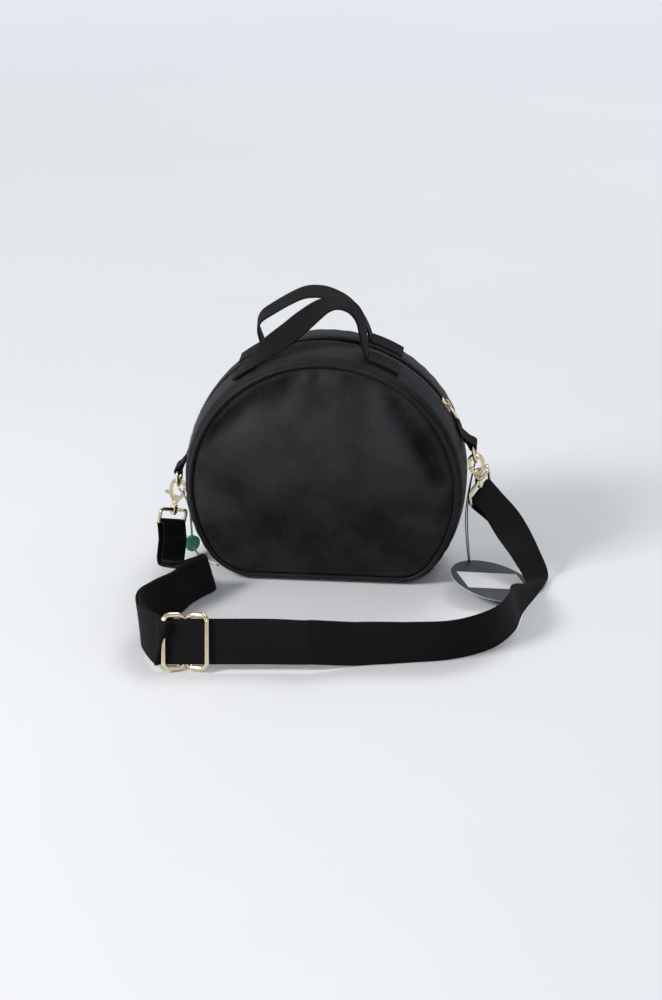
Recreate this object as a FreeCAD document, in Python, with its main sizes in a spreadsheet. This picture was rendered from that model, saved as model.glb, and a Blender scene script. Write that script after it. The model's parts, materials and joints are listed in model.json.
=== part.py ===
"""Circle bag: a soft round bag with a zipped gusset, two handles, side rings, swivel hooks and a strap.

Frame: origin at the middle of the flat base, X to the right, front towards -Y, Z up. Millimetres.
"""
import FreeCAD, Part
import Sketcher
import math
import os
from FreeCAD import Placement, Rotation, Vector

X_AXIS = Vector(1, 0, 0)
Y_AXIS = Vector(0, 1, 0)
Z_AXIS = Vector(0, 0, 1)

# Driving sizes, in millimetres and degrees
SIZES = [
    ("panel_radius", 118.5, "radius of the piping line round a panel"),
    ("crown_rise", 8.0, "how far the gusset stands above the piping line"),
    ("crown_radius", 250.0, "radius of the gusset's crown across the depth"),
    ("shoulder_inset", 9.0, "from the piping plane to the start of the crown"),
    ("bag_depth", 90.0, "between the two piping planes"),
    ("centre_height", 88.0, "centre of the round outline above the base"),
    ("panel_thickness", 3.0, "padded panel"),
    ("panel_bulge", 6.5, "rise of a panel at its middle"),
    ("gusset_wall", 2.4, "padded gusset"),
    ("piping_radius", 2.0, "piping cord"),
    ("piping_corner", 14.0, "rounding of the piping at the base corners"),
    ("piping_height", 4.5, "piping line above the base"),
    ("seam_gap", 0.3, "clear gap between sewn neighbours"),
    ("seam_half_angle", 79.0, "from the top of the bag to a side seam"),
    ("seam_offset_angle", -7.0, "how far the bag has rolled on its base"),
    ("lining_thickness", 0.8, "lining cloth"),
    ("lining_gap", 0.5, "between lining and wall"),
    ("board_thickness", 1.6, "stiffening board in the base"),
    ("zip_half_opening", 10.0, "half the slot between the top bands"),
    ("tape_half_width", 16.0, "zip tape from the middle to its hidden edge"),
    ("tape_slot", 2.6, "half the gap between the tapes"),
    ("tape_thickness", 0.9, "zip tape"),
    ("tooth_pitch", 3.0, "spacing of the teeth of one row"),
    ("tooth_width", 1.2, "tooth along the chain"),
    ("tooth_reach", 1.0, "tooth past the middle line"),
    ("tooth_foot", 3.6, "tooth behind the middle line"),
    ("tooth_height", 1.8, "tooth above the tape"),
    ("tooth_seat", 0.1, "tooth to tape"),
    ("slider_angle", 57.0, "resting place of the zip slider from the top"),
    ("slider_length", 13.0, "zip slider along the chain"),
    ("slider_half_width", 5.4, "zip slider across the chain"),
    ("slider_plate", 1.4, "upper wing of the zip slider"),
    ("slider_flange", 1.1, "side flange of the zip slider"),
    ("slider_clearance", 0.4, "slider to teeth"),
    ("bail_height", 3.4, "bridge on the zip slider"),
    ("bail_length", 8.0, "bridge along the chain"),
    ("bail_width", 2.0, "bridge across the chain"),
    ("bail_bar", 1.2, "bar of the bridge"),
    ("pull_length", 17.0, "zip pull from its pivot to its end"),
    ("pull_width", 7.0, "zip pull"),
    ("pull_thickness", 1.2, "zip pull"),
    ("pull_head", 1.2, "bar of the pull under the bridge"),
    ("pull_lean_angle", 3.0, "pull towards the gusset at rest"),
    ("handle_width", 25.0, "handle webbing"),
    ("handle_thickness", 1.8, "handle webbing"),
    ("handle_inset", 9.0, "handle edge from the piping plane"),
    ("handle_inner_angle", 22.8, "inner end of a sewn patch from the top"),
    ("handle_outer_angle", 36.7, "outer end of a sewn patch from the top"),
    ("handle_offset_angle", -5.5, "roll of the handles"),
    ("handle_lift", 0.3, "patch above the gusset"),
    ("front_bend_radius", 20.0, "top bend of the front handle"),
    ("front_left_angle", 41.0, "slope of the front handle's left leg"),
    ("front_right_angle", 100.0, "slope of the front handle's right leg"),
    ("back_bend_radius", 48.0, "top bend of the back handle"),
    ("back_knee_radius", 10.0, "left bend of the back handle"),
    ("back_knee_rise", 25.4, "left leg of the back handle up to its bend"),
    ("back_left_angle", 102.0, "slope of the back handle's left leg"),
    ("back_rise_angle", 32.5, "slope of the back handle from its left bend"),
    ("back_right_angle", 105.0, "slope of the back handle's right leg"),
    ("tab_width", 20.0, "side tab webbing"),
    ("tab_thickness", 1.6, "side tab webbing"),
    ("tab_sewn_angle", 7.0, "sewn part of a tab above the seam"),
    ("eye_angle", 4.25, "ring bar beyond the seam"),
    ("eye_reach", 16.5, "ring bar outside the piping line"),
    ("ring_wire_radius", 1.6, "D-ring wire"),
    ("ring_half_width", 12.0, "D-ring, middle to wire"),
    ("ring_drop", 16.0, "D-ring bar to the middle of its bow"),
    ("ring_corner", 3.0, "corner rounding of the D-ring"),
    ("ring_clearance", 0.4, "ring bar in its tab"),
    ("hook_play", 1.2, "open play between claw and D-ring"),
    ("hook_reach", 27.5, "swivel to the middle of the claw's top"),
    ("hook_thickness", 4.4, "claw body"),
    ("claw_half_width", 7.5, "claw outline"),
    ("claw_hole_radius", 4.2, "claw opening"),
    ("claw_straight", 5.0, "straight side of the claw"),
    ("gate_slot", 2.2, "slot for the gate"),
    ("gate_thickness", 1.8, "gate lever"),
    ("gate_width", 2.7, "gate lever arm"),
    ("gate_gap", 0.9, "gate to the claw's tip"),
    ("knob_radius", 1.7, "thumb knob"),
    ("gate_pin_radius", 0.7, "gate pivot pin"),
    ("pin_clearance", 0.06, "gate on its pin"),
    ("pin_fit", 0.01, "pin in the claw"),
    ("stem_radius", 1.7, "swivel stem"),
    ("stem_clearance", 0.1, "stem in its boss"),
    ("collar_radius", 2.9, "collar above the boss"),
    ("collar_height", 1.4, "one collar"),
    ("head_radius", 2.7, "riveted head of the stem"),
    ("head_height", 1.4, "riveted head of the stem"),
    ("boss_radius", 3.6, "swivel boss"),
    ("boss_half_height", 3.0, "swivel boss"),
    ("swivel_gap", 0.3, "boss to collar and head"),
    ("loop_half_width", 21.1, "strap ring, middle to wire"),
    ("loop_height", 12.0, "strap ring, bar to bar"),
    ("loop_corner", 2.8, "corner rounding of the strap ring"),
    ("loop_wire_radius", 1.7, "strap ring wire"),
    ("left_ring_angle", 0.0, "swing of the left D-ring"),
    ("right_ring_angle", -11.0, "swing of the right D-ring"),
    ("left_hook_angle", 10.0, "lean of the left hook"),
    ("right_hook_angle", -8.0, "lean of the right hook"),
    ("left_pitch_angle", -20.0, "forward pull on the left hook"),
    ("right_pitch_angle", 10.0, "backward pull on the right hook"),
    ("left_loop_angle", 62.0, "turn of the left strap ring"),
    ("right_loop_angle", 66.0, "turn of the right strap ring"),
    ("strap_width", 38.0, "shoulder strap webbing"),
    ("strap_thickness", 1.5, "shoulder strap webbing"),
    ("strap_clearance", 0.4, "strap round a strap ring"),
    ("strap_spread", 200.0, "strap out to the sides on the table"),
    ("strap_reach", 220.0, "strap out to the front on the table"),
    ("strap_eye_leg", 14.0, "straight ply below a strap ring"),
    ("strap_bow", 9.4, "outward bow of the strap below the right ring"),
    ("ply_lead", 10.5, "second ply from the middle of the strap slider"),
    ("ply_gap", 1.0, "between the two plies of the doubled strap"),
    ("ground_gap", 0.1, "lowest soft edges above the table"),
    ("glide_wire_radius", 2.1, "strap slider wire"),
    ("glide_half_length", 18.0, "strap slider, middle to side bar"),
    ("glide_half_height", 22.0, "strap slider, middle to the top of an arch"),
    ("glide_middle", 1.5, "strap slider, middle to a middle bar"),
    ("glide_corner", 5.8, "corner rounding of the strap slider"),
    ("glide_offset", 3.6, "strap slider bars to the strap's plane"),
    ("glide_place", 28.5, "strap slider from the left end of the straight run"),
    ("tag_radius", 38.5, "swing tag"),
    ("tag_thickness", 0.8, "swing tag"),
    ("tag_hole_radius", 1.0, "hole in the swing tag"),
    ("tag_hole_inset", 5.0, "hole from the tag's edge"),
    ("tag_tilt_angle", 13.0, "tilt of the tag, which its string holds up on the left"),
    ("tag_out", 18.4, "middle of the tag, outwards from the string's top"),
    ("tag_front", 58.8, "middle of the tag, forwards from the string's top"),
    ("string_in", 6.9, "string towards the gusset, past the hook"),
    ("string_fall", 33.0, "string's top to where it passes the hook"),
    ("sticker_length", 60.0, "sticker on the tag"),
    ("sticker_width", 29.0, "sticker on the tag"),
    ("sticker_turn_angle", -16.6, "sticker on the tag"),
    ("sticker_thickness", 0.2, "sticker on the tag"),
    ("string_radius", 0.6, "black string"),
    ("string_bow", 3.0, "sideways bow of the black string"),
    ("string_gap", 0.3, "string to its neighbours"),
    ("seal_radius", 7.5, "seal disc"),
    ("seal_thickness", 4.0, "seal disc"),
    ("seal_height", 13.0, "middle of the seal above the table"),
    ("seal_shift", 10.0, "seal towards the bag from the D-ring"),
    ("seal_back", 9.5, "seal towards the back from the D-ring"),
    ("seal_cord_bend", 4.9, "run of the white cord given to each side of a bend"),
    ("seal_cord_radius", 0.8, "white cord"),
    ("seal_tail", 32.0, "white cord on the table"),
    ("overrun", 400.0, "reach of the cutting blocks"),
]

doc = FreeCAD.newDocument("circle_bag")
sheet = doc.addObject("Spreadsheet::Sheet", "sizes")
for number, (alias, amount, meaning) in enumerate(SIZES, start=1):
    sheet.set("A%d" % number, meaning)
    sheet.set("B%d" % number, str(amount))
    sheet.setAlias("B%d" % number, alias)
doc.recompute()


def size(alias):
    return float(sheet.get(alias))


# Sizes that follow from the driving ones
half_depth = size("bag_depth") / 2
crown_top = size("panel_radius") + size("crown_rise")
centre = Vector(0, 0, size("centre_height"))
shoulder = half_depth - size("shoulder_inset")
edge_inset = size("piping_radius") + size("seam_gap")
left_seam = size("seam_offset_angle") - size("seam_half_angle")
right_seam = size("seam_offset_angle") + size("seam_half_angle")


def crown(depth):
    """Outer radius of the gusset's crown at a depth from the middle."""
    drop = size("crown_radius") - math.sqrt(size("crown_radius") ** 2 - depth ** 2)
    return crown_top - drop


def polar(radius, angle, depth=0.0):
    """Point round the bag: angle in degrees from the top, positive to the right."""
    turn = math.radians(angle)
    return centre + Vector(radius * math.sin(turn), depth, radius * math.cos(turn))


nodes = []


def keep(item, label):
    item.Label = label
    nodes.append(item)
    return item


def add_body(name):
    body = doc.addObject("PartDesign::Body", name)
    return body


def add_sketch(body, role, name):
    sketch = body.newObject("Sketcher::SketchObject", name)
    plane = next(feature for feature in body.Origin.OriginFeatures if feature.Role == role)
    sketch.AttachmentSupport = [(plane, "")]
    sketch.MapMode = "FlatFace"
    return sketch


def flat(point):
    return Vector(point[0], point[1], 0)


def rounded_path(points, radii, closed=True):
    """Lines and tangent arcs through 2-D points, with a rounding for each corner."""
    count = len(points)
    corners = []
    for index in range(count):
        here = flat(points[index])
        ends = not closed and index in (0, count - 1)
        if ends or radii[index] == 0:
            corners.append((here, here, here))
            continue
        before = (flat(points[index - 1]) - here).normalize()
        after = (flat(points[(index + 1) % count]) - here).normalize()
        half = before.getAngle(after) / 2
        back = radii[index] / math.tan(half)
        middle = (before + after).normalize()
        pole = here + middle * (radii[index] / math.sin(half))
        corners.append((here + before * back, pole - middle * radii[index], here + after * back))
    pieces = []
    for index in range(count):
        start, crest, end = corners[index]
        if start != end:
            pieces.append(Part.Arc(start, crest, end))
        if index == count - 1 and not closed:
            break
        following = corners[(index + 1) % count][0]
        if (following - end).Length > 0:
            pieces.append(Part.LineSegment(end, following))
    return pieces


def outline(sketch, points, radii=None):
    for piece in rounded_path(points, radii or [0] * len(points)):
        sketch.addGeometry(piece, False)


def pad(body, sketch, length, name):
    """Pad both ways from the sketch; the length is an expression on the sheet."""
    feature = body.newObject("PartDesign::Pad", name)
    feature.Profile = sketch
    feature.SideType = "Symmetric"
    feature.setExpression("Length", length)
    return feature


def pocket(body, sketch, length, name):
    feature = body.newObject("PartDesign::Pocket", name)
    feature.Profile = sketch
    feature.SideType = "Symmetric"
    feature.setExpression("Length", length)
    return feature


def revolve(body, sketch, name, axis="V_Axis", angle=None):
    feature = body.newObject("PartDesign::Revolution", name)
    feature.Profile = sketch
    feature.ReferenceAxis = (sketch, [axis])
    if angle:
        feature.setExpression("Angle", angle)
        feature.Midplane = True
    return feature


def circle(sketch, place, radius):
    """Circle whose radius is bound to the sheet."""
    index = sketch.addGeometry(Part.Circle(flat(place), Z_AXIS, 1), False)
    sketch.addConstraint(Sketcher.Constraint("Radius", index, 1))
    number = sketch.ConstraintCount - 1
    sketch.setExpression("Constraints[%d]" % number, radius)
    sketch.addConstraint(Sketcher.Constraint("DistanceX", index, 3, place[0]))
    sketch.addConstraint(Sketcher.Constraint("DistanceY", index, 3, place[1]))


def turned(angle):
    """Placement that carries the profile's X direction to an angle round the bag."""
    return Placement(centre, Rotation(Y_AXIS, angle - 90))


def block(name, corner, spans):
    """Block from its least corner; the spans are numbers that follow from the sheet."""
    box = doc.addObject("Part::Box", name)
    box.Length, box.Width, box.Height = spans
    box.Placement = Placement(corner, Rotation())
    return box


def combine(kind, name, base, tool):
    item = doc.addObject(kind, name)
    item.Base = base
    item.Tool = tool
    return item


def wire_ring(name, points, radii, radius, placement):
    """Closed wire of round section: the path lies in its own XY plane."""
    path = doc.addObject("Sketcher::SketchObject", name + "_path")
    pieces = rounded_path(points, radii)
    for piece in pieces:
        path.addGeometry(piece, False)
    path.Placement = placement
    first = next(piece for piece in pieces if isinstance(piece, Part.LineSegment))
    start = placement.multVec(first.StartPoint)
    along = placement.Rotation.multVec(first.EndPoint - first.StartPoint)
    section = doc.addObject("Part::Circle", name + "_section")
    section.setExpression("Radius", radius)
    section.Placement = Placement(start, Rotation(Z_AXIS, along))
    doc.recompute()
    order = pieces.index(first)
    count = len(pieces)
    ring = doc.addObject("Part::Sweep", name)
    ring.Sections = [section]
    ring.Spine = (path, ["Edge%d" % ((order + step) % count + 1) for step in range(count)])
    ring.Solid = True
    ring.Frenet = False
    return ring


def mirrored(point):
    return Vector(-point.x, point.y, 0)


def rim_path(inset):
    """Outline of a panel inside the piping line: an arc, two corners and a straight base."""
    low = size("centre_height") - size("piping_height") - inset
    rim = size("panel_radius") - inset
    bend = size("piping_corner") - inset
    bend_height = low - bend
    bend_out = math.sqrt((rim - bend) ** 2 - bend_height ** 2)
    lean = math.atan2(bend_out, bend_height)
    touch = Vector(rim * math.sin(lean), -rim * math.cos(lean), 0)
    turn = lean / 2
    crest = Vector(bend_out + bend * math.sin(turn), -bend_height - bend * math.cos(turn), 0)
    foot = Vector(bend_out, -low, 0)
    return [
        Part.LineSegment(mirrored(foot), foot), Part.Arc(foot, crest, touch),
        Part.Arc(touch, Vector(0, rim, 0), mirrored(touch)),
        Part.Arc(mirrored(touch), mirrored(crest), mirrored(foot)),
    ]


# Panels: domed discs with a flat lower edge, and a flat lining behind each
half_way_share = 0.75
panel_edge = size("panel_radius") - edge_inset
for side, name in ((-1, "front"), (1, "back")):
    inner = side * (half_depth - size("panel_thickness") / 2)
    outer = side * (half_depth + size("panel_thickness") / 2)
    rise = side * size("panel_bulge")
    slack = half_way_share * rise
    body = add_body(name + "_panel_disc")
    sketch = add_sketch(body, "XY_Plane", name + "_panel_profile")
    top = Vector(0, outer + rise, 0)
    brim = Vector(panel_edge, outer, 0)
    lower_top = Vector(0, inner + rise, 0)
    lower_brim = Vector(panel_edge, inner, 0)
    sketch.addGeometry(Part.Arc(top, Vector(panel_edge / 2, outer + slack, 0), brim))
    sketch.addGeometry(Part.LineSegment(brim, lower_brim))
    sketch.addGeometry(Part.Arc(lower_brim, Vector(panel_edge / 2, inner + slack, 0), lower_top))
    sketch.addGeometry(Part.LineSegment(lower_top, top))
    revolve(body, sketch, name + "_panel_turn")
    body.Placement = Placement(centre, Rotation())
    prism = add_body(name + "_panel_outline")
    sketch = add_sketch(prism, "XZ_Plane", name + "_panel_edge")
    for piece in rim_path(edge_inset):
        sketch.addGeometry(piece, False)
    pad(prism, sketch, "sizes.overrun", name + "_panel_block")
    prism.Placement = Placement(centre, Rotation())
    keep(combine("Part::Common", name + "_panel_cut", body, prism), name + "_panel")
    body = add_body(name + "_lining")
    sketch = add_sketch(body, "XZ_Plane", name + "_lining_edge")
    for piece in rim_path(edge_inset + size("gusset_wall") + size("lining_gap")):
        sketch.addGeometry(piece, False)
    pad(body, sketch, "sizes.lining_thickness", name + "_lining_sheet")
    behind = size("lining_gap") + size("lining_thickness") / 2
    body.Placement = Placement(centre + Vector(0, inner - side * behind, 0), Rotation())
    keep(body, name + "_lining")

# Piping rings: an arc closed by a straight run along the base
for side, name in ((-1, "front_piping"), (1, "back_piping")):
    pieces = rim_path(0)
    path = doc.addObject("Sketcher::SketchObject", name + "_path")
    for piece in pieces:
        path.addGeometry(piece)
    upright = Placement(centre + Vector(0, side * half_depth, 0), Rotation(X_AXIS, 90))
    path.Placement = upright
    section = doc.addObject("Part::Circle", name + "_section")
    section.setExpression("Radius", "sizes.piping_radius")
    section.Placement = Placement(upright.multVec(pieces[0].StartPoint), Rotation(Y_AXIS, 90))
    doc.recompute()
    ring = doc.addObject("Part::Sweep", name + "_sweep")
    ring.Sections = [section]
    ring.Spine = (path, ["Edge1", "Edge2", "Edge3", "Edge4"])
    ring.Solid = True
    keep(ring, name)


bow_rise_share = 0.64
bow_depth_share = 0.62


def gusset_profile(sketch, near, far, drop, wall=None):
    """Section of the gusset between two depths, a drop below the outer skin; solid without a wall."""
    rim = size("panel_radius") + size("seam_gap")
    crest = crown(shoulder)
    rise = crest - rim
    bow = rim + bow_rise_share * rise

    def skin(start, end, depth):
        """Arcs from one depth to another, mirrored as needed."""
        pieces = []
        stops = sorted({start, end} | {stop for stop in (-shoulder, shoulder) if start < stop < end})
        for first, last in zip(stops, stops[1:]):
            middle = (first + last) / 2
            places = []
            for place in (first, middle, last):
                beyond = abs(middle) > shoulder
                if beyond and place == middle:
                    limit = max(abs(first), abs(last))
                    out = shoulder + bow_depth_share * (limit - shoulder)
                    places.append(Vector(bow - depth, math.copysign(out, middle), 0))
                elif beyond and abs(place) > shoulder:
                    places.append(Vector(rim - depth, place, 0))
                else:
                    places.append(Vector(crown(place) - depth, place, 0))
            pieces.append(Part.Arc(*places))
        return pieces

    outer = skin(near, far, drop)
    first = Vector(0, near, 0)
    last = Vector(0, far, 0)
    inner = [Part.LineSegment(first, last)]
    if wall:
        inner = skin(near, far, drop + wall)
        first = inner[0].StartPoint
        last = inner[-1].EndPoint
    for piece in outer + inner:
        sketch.addGeometry(piece)
    sketch.addGeometry(Part.LineSegment(outer[0].StartPoint, first))
    sketch.addGeometry(Part.LineSegment(outer[-1].EndPoint, last))


# Top bands either side of the zip, and the tapes under their edges
edge = half_depth - edge_inset
seam_slit = math.degrees(size("seam_gap") / crown_top)
top_span = "2 * sizes.seam_half_angle - %.6f" % seam_slit
for side, name in ((-1, "front"), (1, "back")):
    body = add_body("top_band_" + name)
    sketch = add_sketch(body, "XY_Plane", "band_profile_" + name)
    near, far = sorted((side * edge, side * size("zip_half_opening")))
    gusset_profile(sketch, near, far, 0, size("gusset_wall"))
    revolve(body, sketch, "band_turn_" + name, angle=top_span)
    body.Placement = turned(size("seam_offset_angle"))
    keep(body, "top_band_" + name)

# Bottom gusset with its flat base
body = add_body("gusset_round")
sketch = add_sketch(body, "XY_Plane", "gusset_section")
gusset_profile(sketch, -edge, edge, 0, size("gusset_wall"))
revolve(body, sketch, "gusset_turn", angle="360 - 2 * sizes.seam_half_angle - %.6f" % seam_slit)
body.Placement = turned(size("seam_offset_angle") + 180)
reach = size("overrun")
below = block("below_base", Vector(-reach / 2, -reach / 2, -reach), (reach, reach, reach))
walls = combine("Part::Cut", "gusset_walls", body, below)
full = add_body("gusset_full")
sketch = add_sketch(full, "XY_Plane", "full_section")
gusset_profile(sketch, -edge, edge, 0)
revolve(full, sketch, "full_turn")
full.Placement = Placement(centre, Rotation())
slab = block("base_slab", Vector(-reach / 2, -reach / 2, 0), (reach, reach, size("gusset_wall")))
base_sheet = combine("Part::Common", "base_sheet", full, slab)
keep(combine("Part::Fuse", "base_gusset_fuse", walls, base_sheet), "base_gusset")

# Gusset lining, a thin sleeve below the zip line, open at the top
body = add_body("lining_round")
sketch = add_sketch(body, "XY_Plane", "lining_section")
lining_drop = size("gusset_wall") + size("lining_gap")
lining_edge = edge - size("panel_thickness")
gusset_profile(sketch, -lining_edge, lining_edge, lining_drop, size("lining_thickness"))
revolve(body, sketch, "lining_turn", angle="360 - 2 * sizes.seam_half_angle")
body.Placement = turned(size("seam_offset_angle") + 180)
lining_floor = size("gusset_wall") + size("board_thickness") + 2 * size("lining_gap")
under = block("below_lining", Vector(-reach / 2, -reach / 2, lining_floor - reach), (reach, reach, reach))
sides = combine("Part::Cut", "lining_sides", body, under)
body = add_body("lining_full")
sketch = add_sketch(body, "XY_Plane", "lining_full_section")
gusset_profile(sketch, -lining_edge, lining_edge, lining_drop)
revolve(body, sketch, "lining_full_turn")
body.Placement = Placement(centre, Rotation())
least = Vector(-reach / 2, -reach / 2, lining_floor)
slab = block("lining_slab", least, (reach, reach, size("lining_thickness")))
sheet_floor = combine("Part::Common", "lining_floor", body, slab)
keep(combine("Part::Fuse", "gusset_lining_fuse", sides, sheet_floor), "gusset_lining")

# Stiffening board between base and lining
board_level = size("gusset_wall") + size("lining_gap")
chord = math.sqrt(crown(edge) ** 2 - (size("centre_height") - board_level) ** 2)
board_half = chord - size("piping_corner")
board_deep = 2 * (lining_edge - size("panel_thickness"))
board = doc.addObject("Part::Box", "board")
board.Length = 2 * board_half
board.Width = board_deep
board.setExpression("Height", "sizes.board_thickness")
board.Placement = Placement(Vector(-board_half, -board_deep / 2, board_level), Rotation())
keep(board, "base_board")

# Zip tapes
tape_top = crown(size("tape_half_width")) - size("gusset_wall") - size("seam_gap")
tape_low = tape_top - size("tape_thickness")
for side, name in ((-1, "front"), (1, "back")):
    body = add_body("zip_tape_" + name)
    sketch = add_sketch(body, "XY_Plane", "tape_profile_" + name)
    near = side * size("tape_slot")
    far = side * size("tape_half_width")
    outline(sketch, [(tape_low, near), (tape_top, near), (tape_top, far), (tape_low, far)])
    revolve(body, sketch, "tape_turn_" + name, angle=top_span)
    body.Placement = turned(size("seam_offset_angle"))
    keep(body, "zip_tape_" + name)

# Zip teeth: two interleaved rows standing on the tape edges
tooth_low = tape_top + size("tooth_seat")
tooth_top = tooth_low + size("tooth_height")
pitch_angle = math.degrees(size("tooth_pitch") / tooth_low)
run_angle = size("seam_half_angle") - 2 * pitch_angle
tooth_count = int(2 * run_angle / pitch_angle)
for side, name in ((-1, "front"), (1, "back")):
    teeth = []
    for index in range(tooth_count):
        shift = index + (0.5 if side > 0 else 0)
        broad = size("tooth_reach") + size("tooth_foot")
        tooth = Part.makeBox(size("tooth_height"), broad, size("tooth_width"))
        foot = -size("tooth_foot") if side < 0 else -size("tooth_reach")
        tooth.translate(Vector(tooth_low, foot, -size("tooth_width") / 2))
        angle = size("seam_offset_angle") - run_angle + shift * pitch_angle
        tooth.Placement = turned(angle).multiply(tooth.Placement)
        teeth.append(tooth)
    row = doc.addObject("Part::Feature", "zip_teeth_" + name)
    row.Shape = Part.makeCompound(teeth)
    keep(row, "zip_teeth_" + name)

# End stops across both rows
stops = []
for way in (-1, 1):
    stop = Part.makeBox(size("tooth_height"), 2 * size("tooth_foot"), size("tooth_pitch") / 2)
    stop.translate(Vector(tooth_low, -size("tooth_foot"), -size("tooth_pitch") / 4))
    angle = size("seam_offset_angle") + way * (size("seam_half_angle") - pitch_angle / 2)
    stop.Placement = turned(angle).multiply(stop.Placement)
    stops.append(stop)
row = doc.addObject("Part::Feature", "zip_stops")
row.Shape = Part.makeCompound(stops)
keep(row, "zip_stops")

# Zip slider: wing over the teeth with side flanges and a bridge
slider_frame = turned(size("slider_angle"))
wing_low = tooth_top + size("slider_clearance")
wing_top = wing_low + size("slider_plate")
body = add_body("zip_slider")
sketch = add_sketch(body, "XY_Plane", "slider_section")
half = size("slider_half_width")
inside = half - size("slider_flange")
flange_low = tooth_low + size("slider_clearance")
outline(sketch, [
    (wing_top, -half), (wing_top, half), (flange_low, half), (flange_low, inside),
    (wing_low, inside), (wing_low, -inside), (flange_low, -inside), (flange_low, -half),
])
pad(body, sketch, "sizes.slider_length", "slider_wing")
sketch = add_sketch(body, "XZ_Plane", "bridge_side")
bail_half = size("bail_length") / 2
bail_top = wing_top + size("bail_height")
bar = size("bail_bar")
outline(sketch, [
    (wing_top - bar, -bail_half), (bail_top, -bail_half), (bail_top, bail_half), (wing_top - bar, bail_half),
    (wing_top - bar, bail_half - bar), (bail_top - bar, bail_half - bar),
    (bail_top - bar, bar - bail_half), (wing_top - bar, bar - bail_half),
], [0, bar, bar, 0, 0, 0, 0, 0])
pad(body, sketch, "sizes.bail_width", "slider_bridge")
body.Placement = slider_frame
keep(body, "zip_slider")

# Zip pull: a rounded tab whose head bar turns under the bridge
pull_pivot = wing_top + (size("bail_height") - bar) / 2
tip_share = 0.9
body = add_body("zip_pull")
sketch = add_sketch(body, "YZ_Plane", "pull_outline")
half = size("pull_width") / 2
tip = size("pull_length")
head = size("pull_head") / 2
blunt = half * tip_share
outline(sketch, [(-half, head), (half, head), (half, -tip), (-half, -tip)], [0, 0, blunt, blunt])
pad(body, sketch, "sizes.pull_thickness", "pull_plate")
sketch = add_sketch(body, "YZ_Plane", "pull_eye")
eye_half = size("bail_width") / 2 + size("slider_clearance")
eye_low = -bail_half - bar
outline(sketch, [(-eye_half, -head), (eye_half, -head), (eye_half, eye_low), (-eye_half, eye_low)])
pocket(body, sketch, "4 * sizes.pull_thickness", "pull_eye_cut")
lean = Placement(Vector(), Rotation(Y_AXIS, -size("pull_lean_angle")))
body.Placement = slider_frame.multiply(Placement(Vector(pull_pivot, 0, 0), Rotation())).multiply(lean)
keep(body, "zip_pull")
print("joint zip pull", slider_frame.multVec(Vector(pull_pivot, 0, 0)))


# Handles: sewn ends on the top bands and a standing loop between them
def meet(start, way, other, other_way):
    """Crossing of two lines in the X-Z plane, as 2-D vectors."""
    spread = way.x * other_way.y - way.y * other_way.x
    gap = other - start
    along = (gap.x * other_way.y - gap.y * other_way.x) / spread
    return start + way * along


def heading(angle):
    return Vector(math.cos(math.radians(angle)), math.sin(math.radians(angle)), 0)


def upright(point):
    return Vector(point.x, point.z, 0)


handle_edge = half_depth - size("handle_inset")
handle_middle = handle_edge - size("handle_width") / 2
handle_inner_edge = handle_edge - size("handle_width")
ply = size("handle_thickness")
foot_radius = crown(handle_inner_edge) + size("handle_lift") + ply / 2
left_foot_angle = size("handle_offset_angle") - size("handle_inner_angle")
right_foot_angle = size("handle_offset_angle") + size("handle_inner_angle")
patch_span = size("handle_outer_angle") - size("handle_inner_angle")
for side, name in ((-1, "front"), (1, "back")):
    patches = []
    for way, where in ((-1, "left"), (1, "right")):
        body = add_body("%s_%s_patch" % (name, where))
        sketch = add_sketch(body, "XY_Plane", "%s_%s_patch_section" % (name, where))
        near, far = sorted((side * handle_edge, side * handle_inner_edge))
        gusset_profile(sketch, near, far, -size("handle_lift") - ply, ply)
        span = "sizes.handle_outer_angle - sizes.handle_inner_angle"
        revolve(body, sketch, "%s_%s_patch_turn" % (name, where), angle=span)
        middle = size("handle_inner_angle") + patch_span / 2
        body.Placement = turned(size("handle_offset_angle") + way * middle)
        patches.append(body)
    pair = doc.addObject("Part::Compound", name + "_handle_patches")
    pair.Links = patches
    keep(pair, name + "_handle_ends")

    left_way = heading(size(name + "_left_angle"))
    right_way = heading(size(name + "_right_angle"))
    left_swing = abs(math.sin(math.radians(size(name + "_left_angle") + left_foot_angle)))
    right_swing = abs(math.sin(math.radians(180 - right_foot_angle - size(name + "_right_angle"))))
    left_clear = math.degrees((size("seam_gap") + left_swing * ply / 2) / foot_radius)
    right_clear = math.degrees((size("seam_gap") + right_swing * ply / 2) / foot_radius)
    left_foot = upright(polar(foot_radius, left_foot_angle + left_clear))
    right_foot = upright(polar(foot_radius, right_foot_angle - right_clear))
    legs = [(left_foot, left_way, 1)]
    bends = [size(name + "_bend_radius")]
    if name == "back":
        knee = left_foot + left_way * size("back_knee_rise")
        legs.append((knee, heading(size("back_rise_angle")), 1))
        bends.insert(0, size("back_knee_radius"))
    legs.append((right_foot, right_way, -1))
    faces = []
    for face in (1, -1):
        lines = []
        for start, way, hand in legs:
            lines.append((start + Vector(-way.y, way.x, 0) * (face * hand * ply / 2), way))
        corners = [lines[0][0]]
        for before, after in zip(lines, lines[1:]):
            corners.append(meet(before[0], before[1], after[0], after[1]))
        corners.append(lines[-1][0])
        faces.append((corners, [0] + [bend + face * ply / 2 for bend in bends] + [0]))
    outer, inner = faces
    body = add_body(name + "_handle_loop")
    sketch = add_sketch(body, "XZ_Plane", name + "_handle_side")
    outline(sketch, outer[0] + inner[0][::-1], outer[1] + inner[1][::-1])
    pad(body, sketch, "sizes.handle_width", name + "_handle_band")
    body.Placement = Placement(Vector(0, side * handle_middle, 0), Rotation())
    keep(body, name + "_handle_loop")
    print("joint", name, "handle axis", left_foot, right_foot, "depth", side * handle_edge)

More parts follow.
